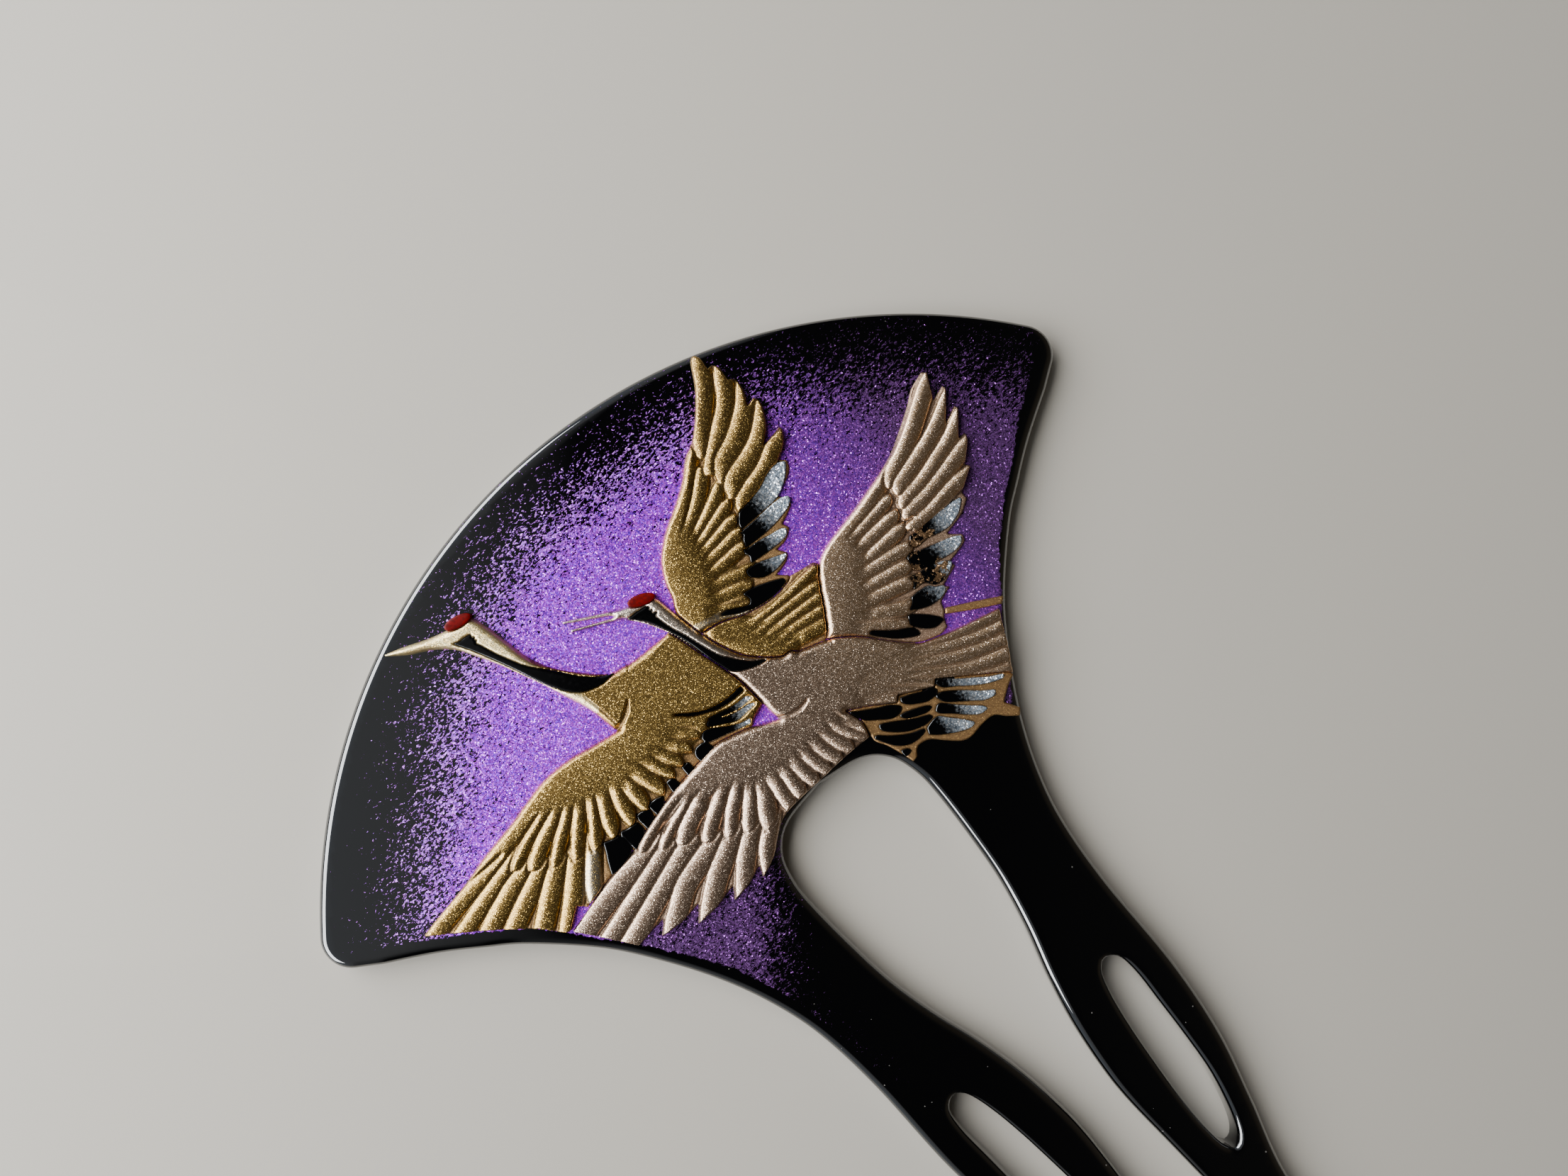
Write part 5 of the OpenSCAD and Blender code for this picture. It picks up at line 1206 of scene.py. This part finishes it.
SILVER_TAIL_FEATHERS = [
    (1.5, (14, 36.4), (16, 37.6), (18, 38.4), (20, 39), (24.6, 40.3)),
    (1.4, (14.2, 37.4), (16, 38.3), (18, 39.3), (20, 40.2), (22, 40.9), (24, 41.3)),
    (1.4, (13.4, 38), (14.8, 38.7), (17, 40), (19, 41), (21, 41.8), (23.2, 42.5)),
    (1.5, (12.8, 38.5), (14.3, 39.6), (17, 41.5), (19, 42.5), (22.4, 43.6)),
    (1.6, (12.2, 38.8), (14.4, 40.7), (17, 42.6), (19, 43.8), (21.4, 45)),
    (1.6, (10.2, 38.3), (12.8, 40.3), (14.6, 42)), (1.5, (7.8, 37.7), (11, 39.8), (13.1, 41.4)),
    (1.4, (6, 37), (8.6, 39.2), (10.9, 40.9))]
SILVER_RUMP = [[8, 34.4, 9], [13, 37.6, 8], [16.5, 40, 8.5], [20, 41.8, 8], [23.4, 43.4, 6]]
SILVER_GROOVES = [([[1.1, 34.2, 0.35], [2.2, 34.75, 0.45], [3.4, 35, 0.45], [4.4, 34.8, 0.25]], 0.24)]
silver_powder = powder_finish("pinkish_silver_powder", deep=colour(142, 114, 92),
                              plain=colour(178, 147, 123), bright=colour(232, 204, 178),
                              tan=colour(212, 174, 134), light=colour(250, 236, 214))
silver_body = raised("silver_crane_neck_back_wing_and_tail_relief",
                     [silver_neck, silver_left_wing, soft(SILVER_TAIL), soft(SILVER_SHOULDER)],
                     ridged([(SILVER_NECK_STRIP, ARM_H, 6), (SILVER_BACK, ARM_H, 3), (SILVER_RUMP, 0.74, 4)],
                            [(SILVER_LEFT_PRIMARIES, UNDER_H, SILVER_PRIMARY_ENDS),
                             (SILVER_LEFT_COVERTS, UPPER_H, SOFT_COVERT_ENDS),
                             (SILVER_TAIL_FEATHERS, 0.72, SILVER_TAIL_ENDS)],
                            SILVER_GROOVES, silvery=SILVER_PALE),
                     silver_inlays + plumes, over=[silver_right_wing])
settle(silver_body, silver_powder, "silver_powder", "silver_crane_neck", "silver_crane_left_wing",
       "silver_crane_tail")

# Silver crane: right wing
# It lies over the rear crane's tail and the front crane's back, in the same silver powder. Its rounded
# leading edge catches the light.
SILVER_OUTER_ENDS = (0.6, 1.4, 0, 0, 0.74)
SILVER_RIGHT_ARM = [[10.8, 32, 7], [12, 30.8, 9], [13.6, 29.2, 10.4], [15.2, 27.6, 9.6], [17, 26.3, 6.6],
                    [20, 24.9, 3.4], [23, 23.9, 2.1], [25.6, 23, 1]]
SILVER_RIGHT_PRIMARIES = [
    (1.8, (23, 24.5), (24, 23.4), (26, 22.5), (28, 21.5), (30, 20.3), (32, 19.1), (33.8, 18.2)),
    (1.8, (23.2, 25.7), (24, 24.6), (26, 24), (28.5, 23.3), (31, 22.3), (34.2, 20.6)),
    (1.7, (22.7, 26.9), (23.6, 26), (26, 25.7), (28.5, 25), (31, 24.2), (33.8, 22.8)),
    (1.7, (22.3, 27.9), (23, 27.2), (26, 26.9), (29, 26.3), (32.8, 25.4)),
    (1.5, (21.9, 28.8), (22.5, 28.4), (25, 28.4), (28, 28), (31.2, 27.9))]
SILVER_RIGHT_COVERTS = [
    (1.3, (17.2, 25.7), (23.1, 24.9)), (1.5, (17.2, 26.7), (22.7, 26.4)), (1.4, (16.8, 28), (22.4, 27.8)),
    (1.5, (15.8, 28.7), (21.9, 29.6)), (1.4, (15.3, 29.9), (20.8, 31)), (1.4, (14.7, 30.9), (20.1, 32.4)),
    (1.5, (13.9, 32), (18.8, 34.3)), (1.4, (12.4, 32.2), (17.3, 35.6))]
silver_right = raised("silver_crane_right_wing_relief", [silver_right_wing],
                      ridged([(SILVER_RIGHT_ARM, ARM_H, 2)],
                             [(SILVER_RIGHT_COVERTS, 0.7, SOFT_COVERT_ENDS),
                              (SILVER_RIGHT_PRIMARIES, UPPER_H, SILVER_OUTER_ENDS)]),
                      silver_right_blacks)
settle(silver_right, silver_powder, "silver_powder", "silver_crane_right_wing")

# Silver crane: ground of the plumes, and its leg
# The black plumes below the tail lie in gold powder, whose lower edge shows as a wavy rim. The leg is a low
# gold bar that runs out to the masked edge.
PLUME_GROUND = [[6.4, 37.7], [8.6, 38.5], [10.7, 40.1], [11.4, 39.7], [14.4, 41.4], [15.1, 40.9],
                [17.7, 42.7], [20.6, 44.8], [20.9, 46], [19.8, 46.5], [18.5, 47.4], [19.3, 48.8],
                [18.8, 49.4], [17.8, 48.6], [16.9, 47.7], [15.5, 47.6], [14, 47.8], [13, 47.5],
                [11.8, 46.4], [10.8, 45.4], [9.8, 45.1], [9.2, 45.3], [8.8, 45.8], [8.2, 45.9], [7.8, 44.5],
                [7.3, 43.1], [6.7, 41.9], [7, 39.8]]
LEG = [[19.6, 37.3], [20.1, 36.9], [22.6, 38.25], [25.2, 39.75], [24.5, 40.2], [22, 38.8]]
ground = raised("silver_crane_plume_ground_relief", [soft(PLUME_GROUND)], ridged(), plumes,
                over=[soft(SILVER_TAIL), silver_left_wing])
settle(ground, gold_powder, "gold_powder", "silver_crane_plume_ground")
leg = raised("silver_crane_leg_relief", [soft(LEG)], ridged(), over=[silver_right_wing])
settle(leg, gold_powder, "gold_powder", "silver_crane_leg")
